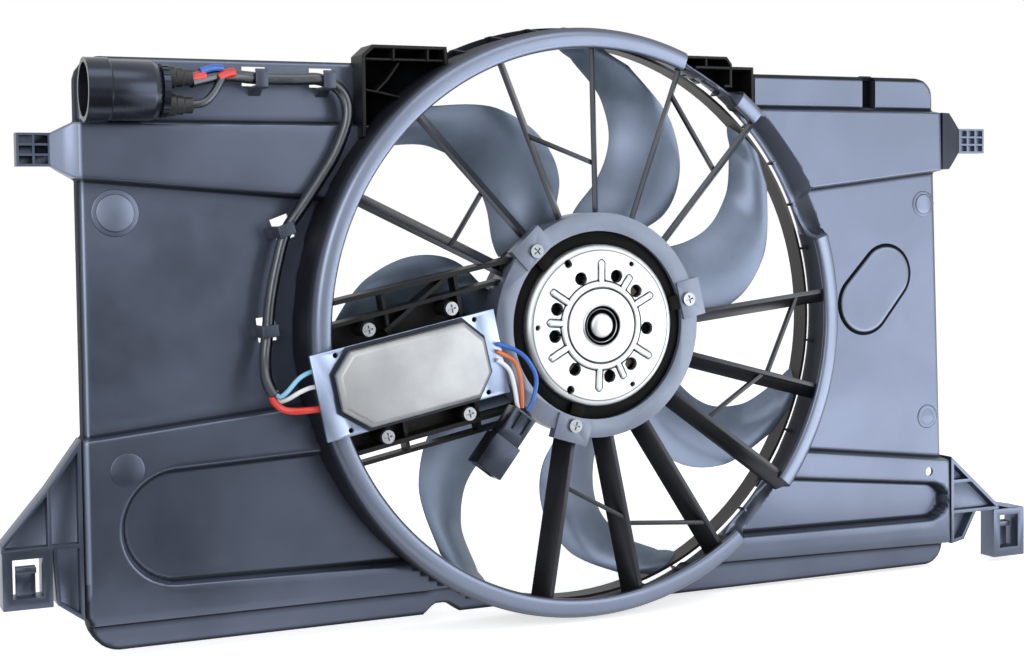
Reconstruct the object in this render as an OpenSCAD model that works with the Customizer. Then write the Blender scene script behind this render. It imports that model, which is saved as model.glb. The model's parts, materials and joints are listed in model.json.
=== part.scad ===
// Radiator cooling fan of a car: a moulded shroud with a rotating ring impeller, its electric
// motor, the control module in the airflow and the harness clipped along the shroud.
// The frame's origin is the fan axis at the plane of the rim that meets the radiator.
// +X is to the right as seen from the engine, +Z is up and -Y points to the engine.

/* [Shroud panels] */
// Fan axis to the left edge
panel_left = 338; // [330:1:345]
// Fan axis to the right edge at the top
panel_right_top = 315; // [308:1:320]
// Fan axis to the right edge at the bottom
panel_right_low = 325; // [320:1:330]
// How far the top edge lies inside the barrel's top
top_inset = 25; // [20:1:32]
// How far the left bottom edge lies inside the barrel's bottom
low_inset = 6; // [2:1:12]
// Radius of the panel's top corners
corner_top_r = 16; // [8:1:24]
// Radius of the panel's bottom corners
corner_low_r = 21; // [10:1:28]
// Depth from the radiator rim to the panel's face
panel_face = 14; // [12:0.5:17]
// Height of the raised beams above the panel's face
beam_rise = 8; // [5:0.5:10]
// How far the raised beams stand out past the panel's sides
beam_overhang = 2.6; // [1:0.2:4]
// Wall thickness of the moulding
wall = 2.5; // [2:0.1:3]

/* [Barrel] */
// Radius of the barrel's outside
barrel_r = 202; // [200:0.5:205]
// Depth of the lip's crest above the radiator rim
lip_depth = 53.5; // [50:0.5:56]
// How far the lip reaches in from the barrel's outside
lip_reach = 14.5; // [12:0.5:18]
// Radial run of the lip's outer curve
lip_curve = 9; // [6:0.5:11]
// Depth run of the lip's outer curve
lip_drop = 11; // [8:0.5:13]

/* [Struts and motor ring] */
// Slots of equal angle round the fan, most of them holding a strut
strut_pitches = 17; // [17:1:17]
// Angle of the first strut at the barrel
strut_start = 4.3; // [3:0.1:6]
// Angle by which a strut's inner end trails its outer end
strut_trail = 3; // [0:0.5:4]
// Thickness of a strut
strut_thick = 3; // [2.4:0.2:4]
// Depth of a strut along the fan axis
strut_depth = 13; // [10:0.5:14]
// Sideways lean of a strut over its depth
strut_lean = 8; // [4:0.5:10]
// Depth of the struts' engine side
strut_front = 50; // [48:0.5:51]
// Thickness of the braces between struts
brace_thick = 3; // [2.4:0.2:4]
// Depth of a brace along the fan axis
brace_depth = 3.4; // [2.4:0.1:3.6]
// Width of the groove between the motor and its ring
seal_width = 9; // [8:0.5:11]
// Width of the motor ring
mount_width = 12.5; // [11:0.5:14]
// Depth of the motor ring's face
mount_face = 58; // [57:0.5:59]
// Distance of the motor screws from the ring's inner edge
screw_inset = 6; // [5:0.2:7]
// Angle of the first motor screw
screw_start = 13; // [8:1:16]

/* [Impeller] */
// Running gap between the rotating ring and the barrel
tip_gap = 4; // [3:0.5:5.5]
// Wall of the rotating ring
fan_ring_wall = 2; // [1.6:0.1:2.4]
// Depth of the rotating ring's radiator side
fan_ring_back = 3; // [2:0.5:4]
// Depth of the rotating ring's engine side
fan_ring_front = 18; // [16:0.5:22]
// From the motor can's outside to the hub's outside
hub_room = 15; // [13:0.5:17]
// Depth of the hub's open side
hub_front = 33; // [30:0.5:34]
// Thickness of the blades
blade_thick = 2.6; // [2:0.1:3.2]

/* [Motor] */
// Radius of the motor's steel can
can_r = 55; // [53:0.5:56]
// Depth of the can's closed side
can_back = 14; // [13:0.5:15]
// Depth of the motor's end plate face
end_face = 61; // [60:0.5:62]
// Radius of the motor shaft
shaft_r = 4; // [3.5:0.1:4.5]
// Radial clearance of the shaft in its bearings
shaft_clearance = 0.02; // [0.01:0.01:0.06]
// Thickness of the magnets
magnet_thick = 12; // [9:0.5:14]
// Radial air gap between armature and magnets
air_gap = 1; // [0.6:0.1:1.5]

/* [Control module] */
// Tilt of the module
module_tilt = 11.4; // [10:0.2:13]
// Length of the module's plate
module_length = 129; // [124:0.5:132]
// Height of the module's plate
module_height = 56.4; // [54:0.2:58]
// Depth of the plate's engine side
module_face = 60.6; // [60.5:0.1:62]
// Thickness of the plate
module_plate = 2.4; // [2:0.1:2.4]
// Height of the cover on the plate
cover_height = 9; // [7:0.5:11]

/* [Connectors] */
// Radius of the round connector's shell
plug_shell_r = 19.5; // [18:0.5:20.5]
// Length of the round connector's shell
plug_shell_length = 46; // [42:1:50]
// Diameter of the taped harness
harness_d = 8; // [7:0.2:8.4]

/* [Hidden] */

$fn = 96;
hair = 0.01;
seat_gap = 0.2;
raised_face = panel_face + beam_rise;
skin_back = panel_face - wall;
barrel_inner = barrel_r - wall;
panel_top = barrel_r - top_inset;
panel_low_left = barrel_r - low_inset;
panel_low_right = barrel_r;
lip_inner_r = barrel_r - lip_reach;
lip_start = lip_depth - lip_drop;
lip_centre_r = barrel_r - lip_curve;
lip_wall = 2.2;
lip_roll = 4;
strut_back = strut_front - strut_depth;
can_wall = 2;
mount_inner_r = can_r + seal_width;
mount_outer_r = mount_inner_r + mount_width;
screw_circle_r = mount_inner_r + screw_inset;
hub_r = can_r + hub_room;
fan_ring_r = barrel_inner - tip_gap;
armature_r = can_r - can_wall - magnet_thick - air_gap;
blade_roots = [0, 50.5, 106.5, 160, 205.5, 256, 314.5];
strut_slots = [0, 2, 3, 4, 5, 6, 7, 12, 13, 14, 15, 16];
screw_angles = [screw_start, screw_start + 120, screw_start + 240];
shaft_bore_r = shaft_r + shaft_clearance;
module_centre = [-137, -26.6];
inlet_z = 154;
inlet_depth = 39.5;
inlet_left = -338;

function polar(r, a) = [r * cos(a), r * sin(a)];
function arc(x, y, r, from, to, steps) =
    [for (i = [0:steps]) let (a = from + (to - from) * i / steps) [x + r * cos(a), y + r * sin(a)]];

// Turns a shape drawn in the fan's own plane, depth upwards, so that depth points to the engine
module seat() { rotate([90, 0, 0]) children(); }

module slab(from, to) { translate([0, 0, from]) linear_extrude(to - from) children(); }

module tube(inner, outer, from, to) {
    slab(from, to) difference() {
        circle(outer);
        circle(inner);
    }
}

// A rib from one point of the plane to another: its section is a leaning blade of even thickness
module rib(start, finish, back, front, thick, lean) {
    run = finish - start;
    translate([start[0], start[1], 0])
        rotate([0, 0, atan2(run[1], run[0])])
            rotate([90, 0, 90])
                linear_extrude(norm(run))
                    polygon([
                        [-lean / 2 - thick / 2, back], [-lean / 2 + thick / 2, back],
                        [lean / 2 + thick / 2, front], [lean / 2 - thick / 2, front]
                    ]);
}

// Closed tube swept along a route: each ring stands square to the route's mean direction there
function unit(v) = v / norm(v);
function route_dir(p, i) =
    unit(p[min(i + 1, len(p) - 1)] - p[max(i - 1, 0)]);
function side_of(d) = unit(cross(d, abs(d[2]) < 0.9 ? [0, 0, 1] : [1, 0, 0]));
module cord(p, d, sides) {
    rings = [for (i = [0:len(p) - 1])
        let (t = route_dir(p, i), s = side_of(t), n = cross(t, s))
            for (k = [0:sides - 1])
                p[i] + d / 2 * (cos(360 * k / sides) * s + sin(360 * k / sides) * n)];
    last = (len(p) - 1) * sides;
    polyhedron(rings, concat(
        [[for (k = [0:sides - 1]) k]],
        [for (i = [0:len(p) - 2]) for (k = [0:sides - 1])
            [i * sides + k, (i + 1) * sides + k,
             (i + 1) * sides + (k + 1) % sides, i * sides + (k + 1) % sides]],
        [[for (k = [sides - 1:-1:0]) last + k]]
    ));
}
// Points between the route's own points on a smooth curve through them
function smooth(p, n) = [for (i = [0:len(p) - 2]) for (j = [0:n - 1])
    let (
        a = p[max(i - 1, 0)], b = p[i], c = p[i + 1], e = p[min(i + 2, len(p) - 1)], t = j / n
    )
    0.5 * (2 * b + (c - a) * t + (2 * a - 5 * b + 4 * c - e) * t * t
        + (3 * b - a - 3 * c + e) * t * t * t)];
function through(p, n) = concat(smooth(p, n), [p[len(p) - 1]]);

// Outline of the left panel, open on the barrel's side
beam_left_top = 136;
module left_outline() {
    difference() {
        polygon(concat(
            arc(-panel_left + corner_low_r, -panel_low_left + corner_low_r, corner_low_r, 180, 270, 8),
            [[-113, -panel_low_left], [-105, -189], [-96, -189], [-86, -panel_low_left]],
            [[-30, -panel_low_left], [-30, panel_top]],
            arc(-panel_left + corner_top_r, panel_top - corner_top_r, corner_top_r, 90, 180, 8)
        ));
        circle(barrel_r);
    }
}
module left_field() {
    difference() {
        polygon([
            [-panel_left - beam_overhang, -178], [-80, -178], [-120, -38],
            [-200, -47.5], [-panel_left - beam_overhang, -61.5]
        ]);
        left_recess();
        circle(barrel_r);
    }
}
module left_recess() {
    polygon(concat(arc(-277, -120, 36, 100, 258, 14), [[-100, -157], [-100, -66]]));
}
module left_beam() {
    difference() {
        polygon([
            [-panel_left - beam_overhang, 100.5], [-120, 82], [-120, beam_left_top],
            [-panel_left - beam_overhang, beam_left_top]
        ]);
        circle(barrel_r);
    }
}
module right_outline() {
    difference() {
        polygon(concat(
            [[30, -panel_low_right]],
            arc(panel_right_low - 17, -panel_low_right + 17, 17, 270, 360, 8),
            arc(panel_right_top - corner_top_r, panel_top - corner_top_r, corner_top_r, 0, 90, 8),
            [[30, panel_top]]
        ));
        circle(barrel_r);
    }
}
module right_field() {
    difference() {
        polygon([
            [60, -180], [panel_right_low + beam_overhang, -184.5],
            [panel_right_low + beam_overhang, -118.5], [205, -105], [120, -96]
        ]);
        offset(delta = wall) right_recess();
        circle(barrel_r);
    }
}
module right_recess() {
    polygon(concat(arc(307, -150.5, 14, -88, 88, 12), [[150, -119], [100, -161]]));
}
module right_beam() {
    difference() {
        polygon([
            [120, 84.5], [190, 91.5], [panel_right_top + 9, 106],
            [panel_right_top + 9, 151], [120, 151]
        ]);
        circle(barrel_r);
    }
}
module egg(grow) {
    hull() {
        translate([250, 5]) circle(22 + grow);
        translate([270, 27]) circle(21 + grow);
    }
}

// Hollow skin: the first child is the panel's outline and the second its raised areas
module skin() {
    difference() {
        union() {
            slab(0, panel_face) children(0);
            slab(0, raised_face) children(1);
        }
        slab(-1, skin_back) offset(delta = -wall) union() {
            children(0);
            circle(barrel_r + wall + 1);
        }
        slab(-1, raised_face - wall) offset(delta = -wall) union() {
            children(1);
            intersection() {
                circle(barrel_r + wall + 1);
                hull() children(1);
            }
        }
    }
}

// Window under each clip, through which the tool that moulds the clip passes
clip_places = [
    [[-225, 164], 0], [[-180, 164], 0],
    [polar(barrel_r + 18.7, 162.1), -70], [polar(barrel_r + 20, 179.2), -84]
];
module clip_windows() {
    for (c = clip_places) translate(c[0]) rotate(c[1])
        translate([0, 2.25]) square([16, 12.5], center = true);
}

// Grid of pockets in the face of a locating tab
module tab(x0, x1, y0, y1, columns, rows) {
    side = 1.6;
    across = (x1 - x0 - side) / columns;
    up = (y1 - y0 - side) / rows;
    difference() {
        translate([x0, y0, 6]) cube([x1 - x0, y1 - y0, 9]);
        for (i = [0:columns - 1]) for (j = [0:rows - 1])
            translate([x0 + side + i * across, y0 + side + j * up, 8])
                cube([across - side, up - side, 8]);
    }
}
// Tapering neck between a beam's end and its locating tab
module neck(from, to, y0, y1, z0, z1) {
    hull() {
        translate([from, y0[0], 2]) cube([hair, y1[0] - y0[0], z0 - 2]);
        translate([to, y0[1], 6]) cube([hair, y1[1] - y0[1], z1 - 6]);
    }
}

pocket_face = 34;
module left_pocket() {
    polygon([[-158, 128], [-158, 180], [-151, 187], [-100, 187], [-96, 170]]);
}
module shroud_panel_left() {
    color("#2b3038") seat() difference() {
        union() {
            skin() {
                left_outline();
                union() {
                    left_field();
                    left_beam();
                }
            }
            slab(skin_back, pocket_face) difference() {
                left_pocket();
                circle(barrel_r);
            }
            slab(0, skin_back + hair) difference() {
                left_pocket();
                offset(delta = -wall) left_pocket();
                circle(barrel_r);
                translate([-200, 0]) square([200, panel_top - wall]);
            }
            for (p = [[-315.5, 79.5, 14.5], [-310, -84, 12]])
                translate([p[0], p[1], panel_face - hair])
                    cylinder(r = p[2], h = (p[1] < 0 ? beam_rise : 0) + 0.8);
            neck(-panel_left - beam_overhang, -354, [101, 108.5], [beam_left_top, 129], raised_face, 15);
            tab(-374.5, -354, 108.5, 129, 2, 3);
        }
        slab(panel_face, pocket_face + 1) difference() {
            offset(delta = -wall) left_pocket();
            circle(barrel_r + 0.5);
            translate([-142, 100]) rotate(-28) square([2.2, 120]);
            translate([-160, 158]) rotate(-8) square([90, 2.2]);
        }
        slab(-1, raised_face + 1) clip_windows();
    }
}

module right_box_low() { polygon([[120, 140], [142, 140], [142, 180], [86, 180], [86, 150]]); }
module right_box_top() { polygon([[83, 165], [124, 165], [124, 182], [120, 187], [83, 187]]); }
module shroud_panel_right() {
    color("#39404c") seat() difference() {
        union() {
            skin() {
                right_outline();
                union() {
                    right_field();
                    right_beam();
                }
            }
            slab(7.5, raised_face) difference() {
                offset(delta = wall) right_recess();
                circle(barrel_r);
                translate([panel_right_low + beam_overhang, -200]) square([10, 200]);
            }
            slab(skin_back, 30) difference() {
                union() {
                    right_box_low();
                    right_box_top();
                }
                circle(barrel_r);
            }
            for (x = [[152, 247], [260, panel_right_top - 2]])
                translate([x[0], 154, panel_face - hair]) cube([x[1] - x[0], 20, 1.6]);
            for (p = [[305, 80, 9.8], [309, -85, 9.2]])
                translate([p[0], p[1], panel_face - hair]) cylinder(r = p[2], h = 0.8);
            neck(panel_right_top + 9, 339, [106.5, 119.5], [150.5, 138.5], raised_face, 15);
            tab(339, 363.5, 119.5, 138.5, 3, 3);
        }
        slab(10, raised_face + 1) right_recess();
        slab(-1, 7.5) offset(delta = -0.5) right_recess();
        slab(panel_face - 1.2, panel_face + 1) difference() {
            egg(0);
            egg(-2.6);
        }
        translate([305, -127, -1]) cylinder(r = 3.5, h = raised_face + 2);
    }
}

// Bracket below a panel's side: a webbed wing that ends in a hook window with a sprung tongue
module hook_window(x, y, w, h) {
    frame_front = 22;
    difference() {
        translate([x, y, 6]) cube([w, h, frame_front - 6]);
        translate([x + 6, y + 7, 5]) cube([w - 12, h - 12, frame_front]);
    }
    translate([x + 9, y + 3, 9]) cube([w - 18, h - 14, 2.4]);
    translate([x + 9, y + h - 15, 9]) cube([w - 18, 3.5, 7]);
}
// Webbed wing: the cells meet along shared ribs and a floor closes them halfway down
module wing(cells, back, front, floor_at) {
    slab(back, front) difference() {
        offset(delta = wall / 2) union() {
            for (c = cells) polygon(c);
        }
        for (c = cells) offset(delta = -wall / 2) polygon(c);
    }
    slab(floor_at - wall, floor_at) union() {
        for (c = cells) polygon(c);
    }
}
left_side = -panel_left - beam_overhang - seat_gap - wall / 2;
left_cells = [
    [[left_side, -64], [-361, -90], [-361, -126], [left_side, -126]],
    [[-361, -90], [-389, -123], [-389, -126], [-361, -126]],
    [[left_side, -126], [-358, -126], [-356, -161], [left_side, -171]]
];
module hook_bracket_left() {
    color("#30353e") seat() {
        wing(left_cells, 4, 20, 12);
        hook_window(-390, -162, 30, 36);
    }
}
right_side = panel_right_low + beam_overhang + seat_gap + wall / 2;
right_cells = [
    [[right_side, -120], [right_side, -137], [348, -137]],
    [[right_side, -137], [348, -137], [375, -161], [right_side, -161]],
    [[right_side, -161], [351, -161], [339, -182], [right_side, -184]],
    [[372, -158], [397, -163], [397, -166], [375, -166]]
];
module hook_bracket_right() {
    color("#39404c") seat() {
        wing(right_cells, 4, 20, 12);
        hook_window(368, -200, 30, 38);
    }
}

// Barrel: a wall of even thickness whose lip curls inwards towards the engine
lip_outer = [for (p = arc(0, 0, 1, 0, 90, 8))
    [lip_centre_r + lip_curve * p[0], lip_start + lip_drop * p[1]]];
lip_under = [for (p = arc(0, 0, 1, 90, 0, 6))
    [lip_centre_r + (lip_curve - lip_wall) * p[0], lip_start + (lip_drop - lip_wall) * p[1]]];
barrel_section = concat(
    [[barrel_r, 0]], lip_outer,
    [[lip_inner_r + 1.2, lip_depth - 1.2], [lip_inner_r, lip_depth - 2.6],
     [lip_inner_r, lip_depth - lip_roll], [lip_inner_r + 1.4, lip_depth - lip_roll]],
    lip_under, [[barrel_inner, skin_back + 12], [barrel_inner, 0]]
);
// Cut in the barrel with rounded lower corners, drawn across the wall and run out radially
module barrel_cut(angle, width, floor_at, corner) {
    rotate([0, 0, angle]) translate([barrel_r - 30, 0, 0]) rotate([90, 0, 90])
        linear_extrude(45)
            polygon(concat(
                arc(-width / 2 + corner, floor_at + corner, corner, 180, 270, 6),
                arc(width / 2 - corner, floor_at + corner, corner, 270, 360, 6),
                [[width / 2, 70], [-width / 2, 70]]
            ));
}
// Wedge of the plane between two angles, wide enough to reach past the barrel
module sector(from, to) {
    polygon(concat([[0, 0]], [for (i = [0:4]) polar(barrel_r + 60, from + (to - from) * i / 4)]));
}
top_meet = asin((panel_top - wall) / barrel_r);
low_meet = asin((panel_low_left - wall) / barrel_r);
nub_count = 36;
module fan_barrel() {
    color("#23262c") seat() {
        difference() {
            rotate_extrude($fn = 144) polygon(barrel_section);
            slab(-1, skin_back) {
                sector(-low_meet, top_meet);
                sector(180 - top_meet, 180 + low_meet);
            }
            barrel_cut(58.8, 46, 27, 18);
            barrel_cut(31, 96, 16.5, 20);
            barrel_cut(-46.8, 46, 16.5, 10);
        }
        for (i = [0:nub_count - 1]) rotate([0, 0, i * 360 / nub_count + 4])
            translate([barrel_inner - 1.6, -0.8, skin_back + 1]) cube([2.2, 1.6, 9]);
        for (a = [74:8:114]) rotate([0, 0, a])
            rotate([90, 0, 0])
                linear_extrude(2, center = true)
                    polygon([[barrel_r - 0.8, 2], [barrel_r + 4, 2], [barrel_r + 4, 9],
                             [barrel_r - 0.8, 36]]);
    }
}

// Space inside the barrel, to which the struts' outer ends are cut
module barrel_core() {
    rotate_extrude($fn = 144)
        polygon(concat([[0, skin_back], [barrel_inner, skin_back], [barrel_inner, skin_back + 12]],
            [for (i = [len(lip_under) - 1:-1:0]) lip_under[i]],
            [[lip_inner_r + 1.4, lip_depth - lip_roll], [lip_inner_r, lip_depth - lip_roll],
             [lip_inner_r, lip_depth + 12], [0, lip_depth + 12]]));
}
function strut_angle(slot) = strut_start + slot * 360 / strut_pitches;
function strut_point(slot, r) =
    let (
        inner = polar(mount_outer_r, strut_angle(slot) - strut_trail),
        outer = polar(barrel_inner, strut_angle(slot))
    )
    inner + (outer - inner) * (r - mount_outer_r) / (barrel_inner - mount_outer_r);
module stator_struts() {
    color("#26282c") seat() difference() {
        intersection() {
            for (s = strut_slots)
                rib(strut_point(s, mount_outer_r - 4), strut_point(s, barrel_r), strut_back,
                    strut_front, strut_thick, strut_lean);
            barrel_core();
        }
        translate([0, 0, strut_back - 1]) cylinder(r = mount_outer_r, h = strut_depth + 2);
    }
}
// Each brace runs between two struts: slot and radius at either end
brace_ends = [[5, 137, 4, 110], [3, 170, 2, 143], [0, 166, 16, 146], [16, 142, 15, 114],
    [12, 112, 13, 137], [13, 141, 14, 168], [7, 118, 6, 122]];
brace_shift = strut_lean * (strut_depth / 2 - 1 - brace_depth / 2) / strut_depth;
function brace_point(slot, r) =
    strut_point(slot, r) + brace_shift * polar(1, strut_angle(slot) + 90);
module strut_braces() {
    color("#2c2e33") seat() for (b = brace_ends)
        rib(brace_point(b[0], b[1]), brace_point(b[2], b[3]),
            strut_front - brace_depth - 1, strut_front - 1, brace_thick, 0);
}

// Ring that holds the motor, with an ear and a boss at each screw
ear_w = 26;
module ear_outline() {
    for (a = screw_angles) rotate(a)
        translate([mount_inner_r, -ear_w / 2]) square([mount_outer_r + 5 - mount_inner_r, ear_w]);
}
module motor_mount_ring() {
    color("#b4bccb") seat() difference() {
        union() {
            tube(mount_outer_r - wall, mount_outer_r, strut_back, mount_face);
            tube(mount_inner_r, mount_outer_r, mount_face - wall, mount_face);
            tube(mount_inner_r, mount_inner_r + 2, strut_front - 2, mount_face);
            slab(mount_face - 6, mount_face + 2) difference() {
                ear_outline();
                circle(mount_inner_r);
            }
            for (a = screw_angles) rotate([0, 0, a])
                translate([screw_circle_r, 0, strut_back + 2]) cylinder(r = 4.2, h = 16);
        }
        for (a = screw_angles) rotate([0, 0, a])
            translate([screw_circle_r, 0, strut_back + 4]) cylinder(r = 2.2, h = 40);
    }
}

// Frame that carries the control module between the barrel and the motor ring
rail_top = 56;
rail_low = -42;
carrier_back = 36;
carrier_front = 52;
module_boss = [[-47.9, 24.6], [49.6, 24.6], [49.6, -24.6], [-47.9, -24.6]];
carrier_boss = [[-22, 35], [36.5, 35], [-24, -35.5], [34.3, -35.5]];
module in_module() {
    translate([module_centre[0], module_centre[1], 0]) rotate([0, 0, module_tilt]) children();
}
module module_carrier() {
    web = 2.6;
    color("#1c1d20") seat() difference() {
        intersection() {
            union() {
                in_module() {
                    for (y = [rail_top, rail_low])
                        rib([-70, y], [120, y], carrier_back, carrier_front, 3, 0);
                    rib([-70, rail_low - 9], [100, rail_low - 9], carrier_back, carrier_front - 6, web, 0);
                    rib([-70, rail_top - 15], [110, rail_top - 12],
                        carrier_back, carrier_front - 2, web, 0);
                    for (x = [-52, -8, 44, 78])
                        rib([x, rail_low - 9], [x + 4, rail_top], carrier_back, carrier_front - 5, web, 0);
                    rib([-8, 30], [44, rail_top], carrier_back, carrier_front - 3, web, 0);
                    slab(carrier_back, carrier_back + wall)
                        polygon([[-51, rail_low], [48, rail_low], [48, 43], [-48, 41.4]]);
                    for (p = module_boss) translate([p[0], p[1], carrier_back])
                        cylinder(r = 4, h = module_face - module_plate - carrier_back);
                    for (p = carrier_boss) translate([p[0], p[1], carrier_back])
                        cylinder(r = 5, h = module_face - carrier_back - 4);
                }
            }
            barrel_core();
        }
        translate([0, 0, carrier_back - 1]) cylinder(r = mount_outer_r, h = 60);
        in_module() for (p = concat(module_boss, carrier_boss))
            translate([p[0], p[1], carrier_back + 3]) cylinder(r = 1.6, h = 60);
    }
}

// Impeller hub: a cup over the motor, stiffened inside by ribs
hub_wall = 2.6;
hub_back = 6;
insert_r = 9;
module fan_hub() {
    color("#2f333a") seat() difference() {
        union() {
            rotate_extrude() polygon([
                [insert_r, hub_back], [hub_r - 6, hub_back], [hub_r, hub_back + 5], [hub_r, hub_front],
                [hub_r - hub_wall, hub_front], [hub_r - hub_wall, hub_back + 6],
                [hub_r - 8, hub_back + hub_wall], [insert_r + 5, hub_back + hub_wall],
                [insert_r + 4, can_back - 1], [insert_r, can_back - 1]
            ]);
            for (a = [0:30:330]) rotate([0, 0, a]) translate([insert_r + 3, -1, hub_back + 1])
                cube([hub_r - insert_r - 10, 2, 3]);
            for (a = [15:30:345]) rotate([0, 0, a]) translate([can_r + 5, -1, hub_back + 2])
                cube([hub_r - can_r - 6.5, 2, hub_front - hub_back - 8]);
        }
        for (a = [15:60:315]) rotate([0, 0, a])
            translate([38, 0, 0]) cylinder(r = 6, h = hub_back + 20);
    }
}

// Blade edges at each station: share of the way from hub to ring, trailing edge's angle and
// depth, leading edge's angle and depth
blade_stations = [
    [0, 53.6, 26, 88.0, 9], [0.12, 49.6, 27, 81.6, 8], [0.242, 47.6, 27.5, 76.7, 7.5],
    [0.364, 48.5, 27, 74.4, 7], [0.486, 51.2, 26.5, 74.3, 6.5], [0.608, 55.6, 25.5, 76.0, 6],
    [0.73, 61.6, 24, 79.4, 5.5], [0.851, 69.5, 22, 84.2, 5], [0.933, 76.2, 20, 88.1, 5],
    [1, 82.5, 17, 91.5, 5]
];
blade_root_r = hub_r + seat_gap;
blade_tip_r = fan_ring_r - fan_ring_wall - seat_gap;
blade_chord = 5;
// Round about a blade's section: over its engine side and back under its radiator side
function blade_point(s, k) =
    let (
        under = k > blade_chord,
        t = under ? (2 * blade_chord - k) / blade_chord : k / blade_chord,
        a = s[1] + (s[3] - s[1]) * t,
        r = blade_root_r + (blade_tip_r - blade_root_r) * s[0],
        camber = 3.2 * 4 * t * (1 - t),
        half = blade_thick / 2 * (0.35 + 0.65 * 4 * t * (1 - t)) * (under ? -1 : 1),
        z = s[2] + (s[4] - s[2]) * t + camber + half
    )
    [r * cos(a), r * sin(a), z];
blade_ring = 2 * blade_chord;
blade_stops = len(blade_stations);
module blade() {
    points = [for (s = blade_stations) for (k = [0:blade_ring - 1]) blade_point(s, k)];
    polyhedron(points, concat(
        [[for (k = [0:blade_ring - 1]) k]],
        [for (i = [0:blade_stops - 2]) for (k = [0:blade_ring - 1]) for (h = [0, 1])
            let (n = (k + 1) % blade_ring, a = i * blade_ring, b = a + blade_ring)
                h == 0 ? [a + k, b + k, b + n] : [a + k, b + n, a + n]],
        [[for (k = [blade_ring - 1:-1:0]) (blade_stops - 1) * blade_ring + k]]
    ));
}
module fan_blades() {
    color("#5b6675") seat() for (a = blade_roots) rotate([0, 0, a]) blade();
}
module fan_ring() {
    color("#3a3431") seat() rotate_extrude($fn = 144) polygon([
        [fan_ring_r - fan_ring_wall, fan_ring_back], [fan_ring_r, fan_ring_back],
        [fan_ring_r, fan_ring_front], [fan_ring_r - fan_ring_wall, fan_ring_front]
    ]);
}
module hub_insert() {
    color("#8d8f93") seat() tube(shaft_r, insert_r, hub_back - 1, can_back - 1);
}
nut_back = 1;
module hub_nut() {
    color("#9a9c9f") seat() difference() {
        slab(nut_back, hub_back - 1) circle(7.5, $fn = 6);
        translate([0, 0, -1]) cylinder(r = shaft_r, h = 10);
    }
}

// Motor
bearing_r = 11;
bearing_w = 7;
rear_bearing_front = end_face - 1.5;
module motor_shaft() {
    color("#c9ccd0") seat() {
        translate([0, 0, nut_back - 0.5]) cylinder(r = shaft_r, h = rear_bearing_front - nut_back - 0.5);
    }
}
core_back = 25;
core_front = 44;
armature_slots = 12;
module armature_core() {
    color("#6c6f74") seat() difference() {
        tube(shaft_r, armature_r, core_back, core_front);
        for (i = [0:armature_slots - 1]) rotate([0, 0, i * 360 / armature_slots])
            translate([22, -3.5, core_back - 1]) cube([armature_r - 24, 7, core_front - core_back + 2]);
        for (i = [0:armature_slots - 1]) rotate([0, 0, i * 360 / armature_slots])
            translate([armature_r - 3, -1, core_back - 1]) cube([6, 2, core_front - core_back + 2]);
    }
}
module armature_winding() {
    color("#b5652b") seat() {
        tube(14, armature_r - 4, core_back - 4, core_back - 0.2);
        tube(14, armature_r - 4, core_front + 0.2, core_front + 3);
        for (i = [0:armature_slots - 1]) rotate([0, 0, i * 360 / armature_slots])
            translate([23, -3, core_back]) cube([armature_r - 27, 6, core_front - core_back]);
    }
}
commutator_r = 13;
module commutator() {
    color("#c07a3a") seat() difference() {
        tube(shaft_r, commutator_r, core_front + 0.2, core_front + 9);
        for (a = [0:15:345]) rotate([0, 0, a])
            translate([commutator_r - 1, -0.3, core_front + 3.5]) cube([3, 0.6, 8]);
    }
}
can_front = 52;
module motor_can() {
    color("#a7abb0") seat() {
        rotate_extrude() polygon([
            [bearing_r, can_back], [16, can_back], [18, can_back + 3], [can_r - 6, can_back + 4],
            [can_r, can_back + 9], [can_r, can_front], [can_r - can_wall, can_front],
            [can_r - can_wall, can_back + 10], [can_r - 8, can_back + 6], [16, can_back + 6],
            [bearing_r + 1.5, can_back + bearing_w], [bearing_r, can_back + bearing_w]
        ]);
    }
}
magnet_outer = can_r - can_wall;
magnet_inner = armature_r + air_gap;
module motor_magnets() {
    color("#3c3e42") seat() for (a = [0:90:270]) rotate([0, 0, a + 8])
        rotate_extrude(angle = 74)
            polygon([
                [magnet_inner, can_back + 10.5], [magnet_outer, can_back + 10.5],
                [magnet_outer, core_front + 2], [magnet_inner, core_front + 2]
            ]);
}
module motor_bearings() {
    color("#c4c8cc") seat() {
        tube(shaft_bore_r, bearing_r, can_back + 1, can_back + bearing_w - 1);
        tube(shaft_bore_r, 8, rear_bearing_front - 5, rear_bearing_front);
    }
}
module brush_plate() {
    color("#4a4237") seat() difference() {
        union() {
            tube(commutator_r + 3, can_r - can_wall - 0.3, core_front + 4, core_front + 6);
            for (a = [0:90:270]) rotate([0, 0, a + 45])
                translate([commutator_r + 4, -6, core_front + 4]) cube([20, 12, 8]);
        }
        for (a = [0:90:270]) rotate([0, 0, a + 45])
            translate([0, -4, core_front + 6]) cube([commutator_r + 20, 8, 4]);
    }
}
module motor_brushes() {
    color("#2a2a2b") seat() for (a = [0:90:270]) rotate([0, 0, a + 45])
        translate([commutator_r + 0.5, -3.8, core_front + 6.2]) cube([15, 7.6, 3.6]);
}
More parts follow.
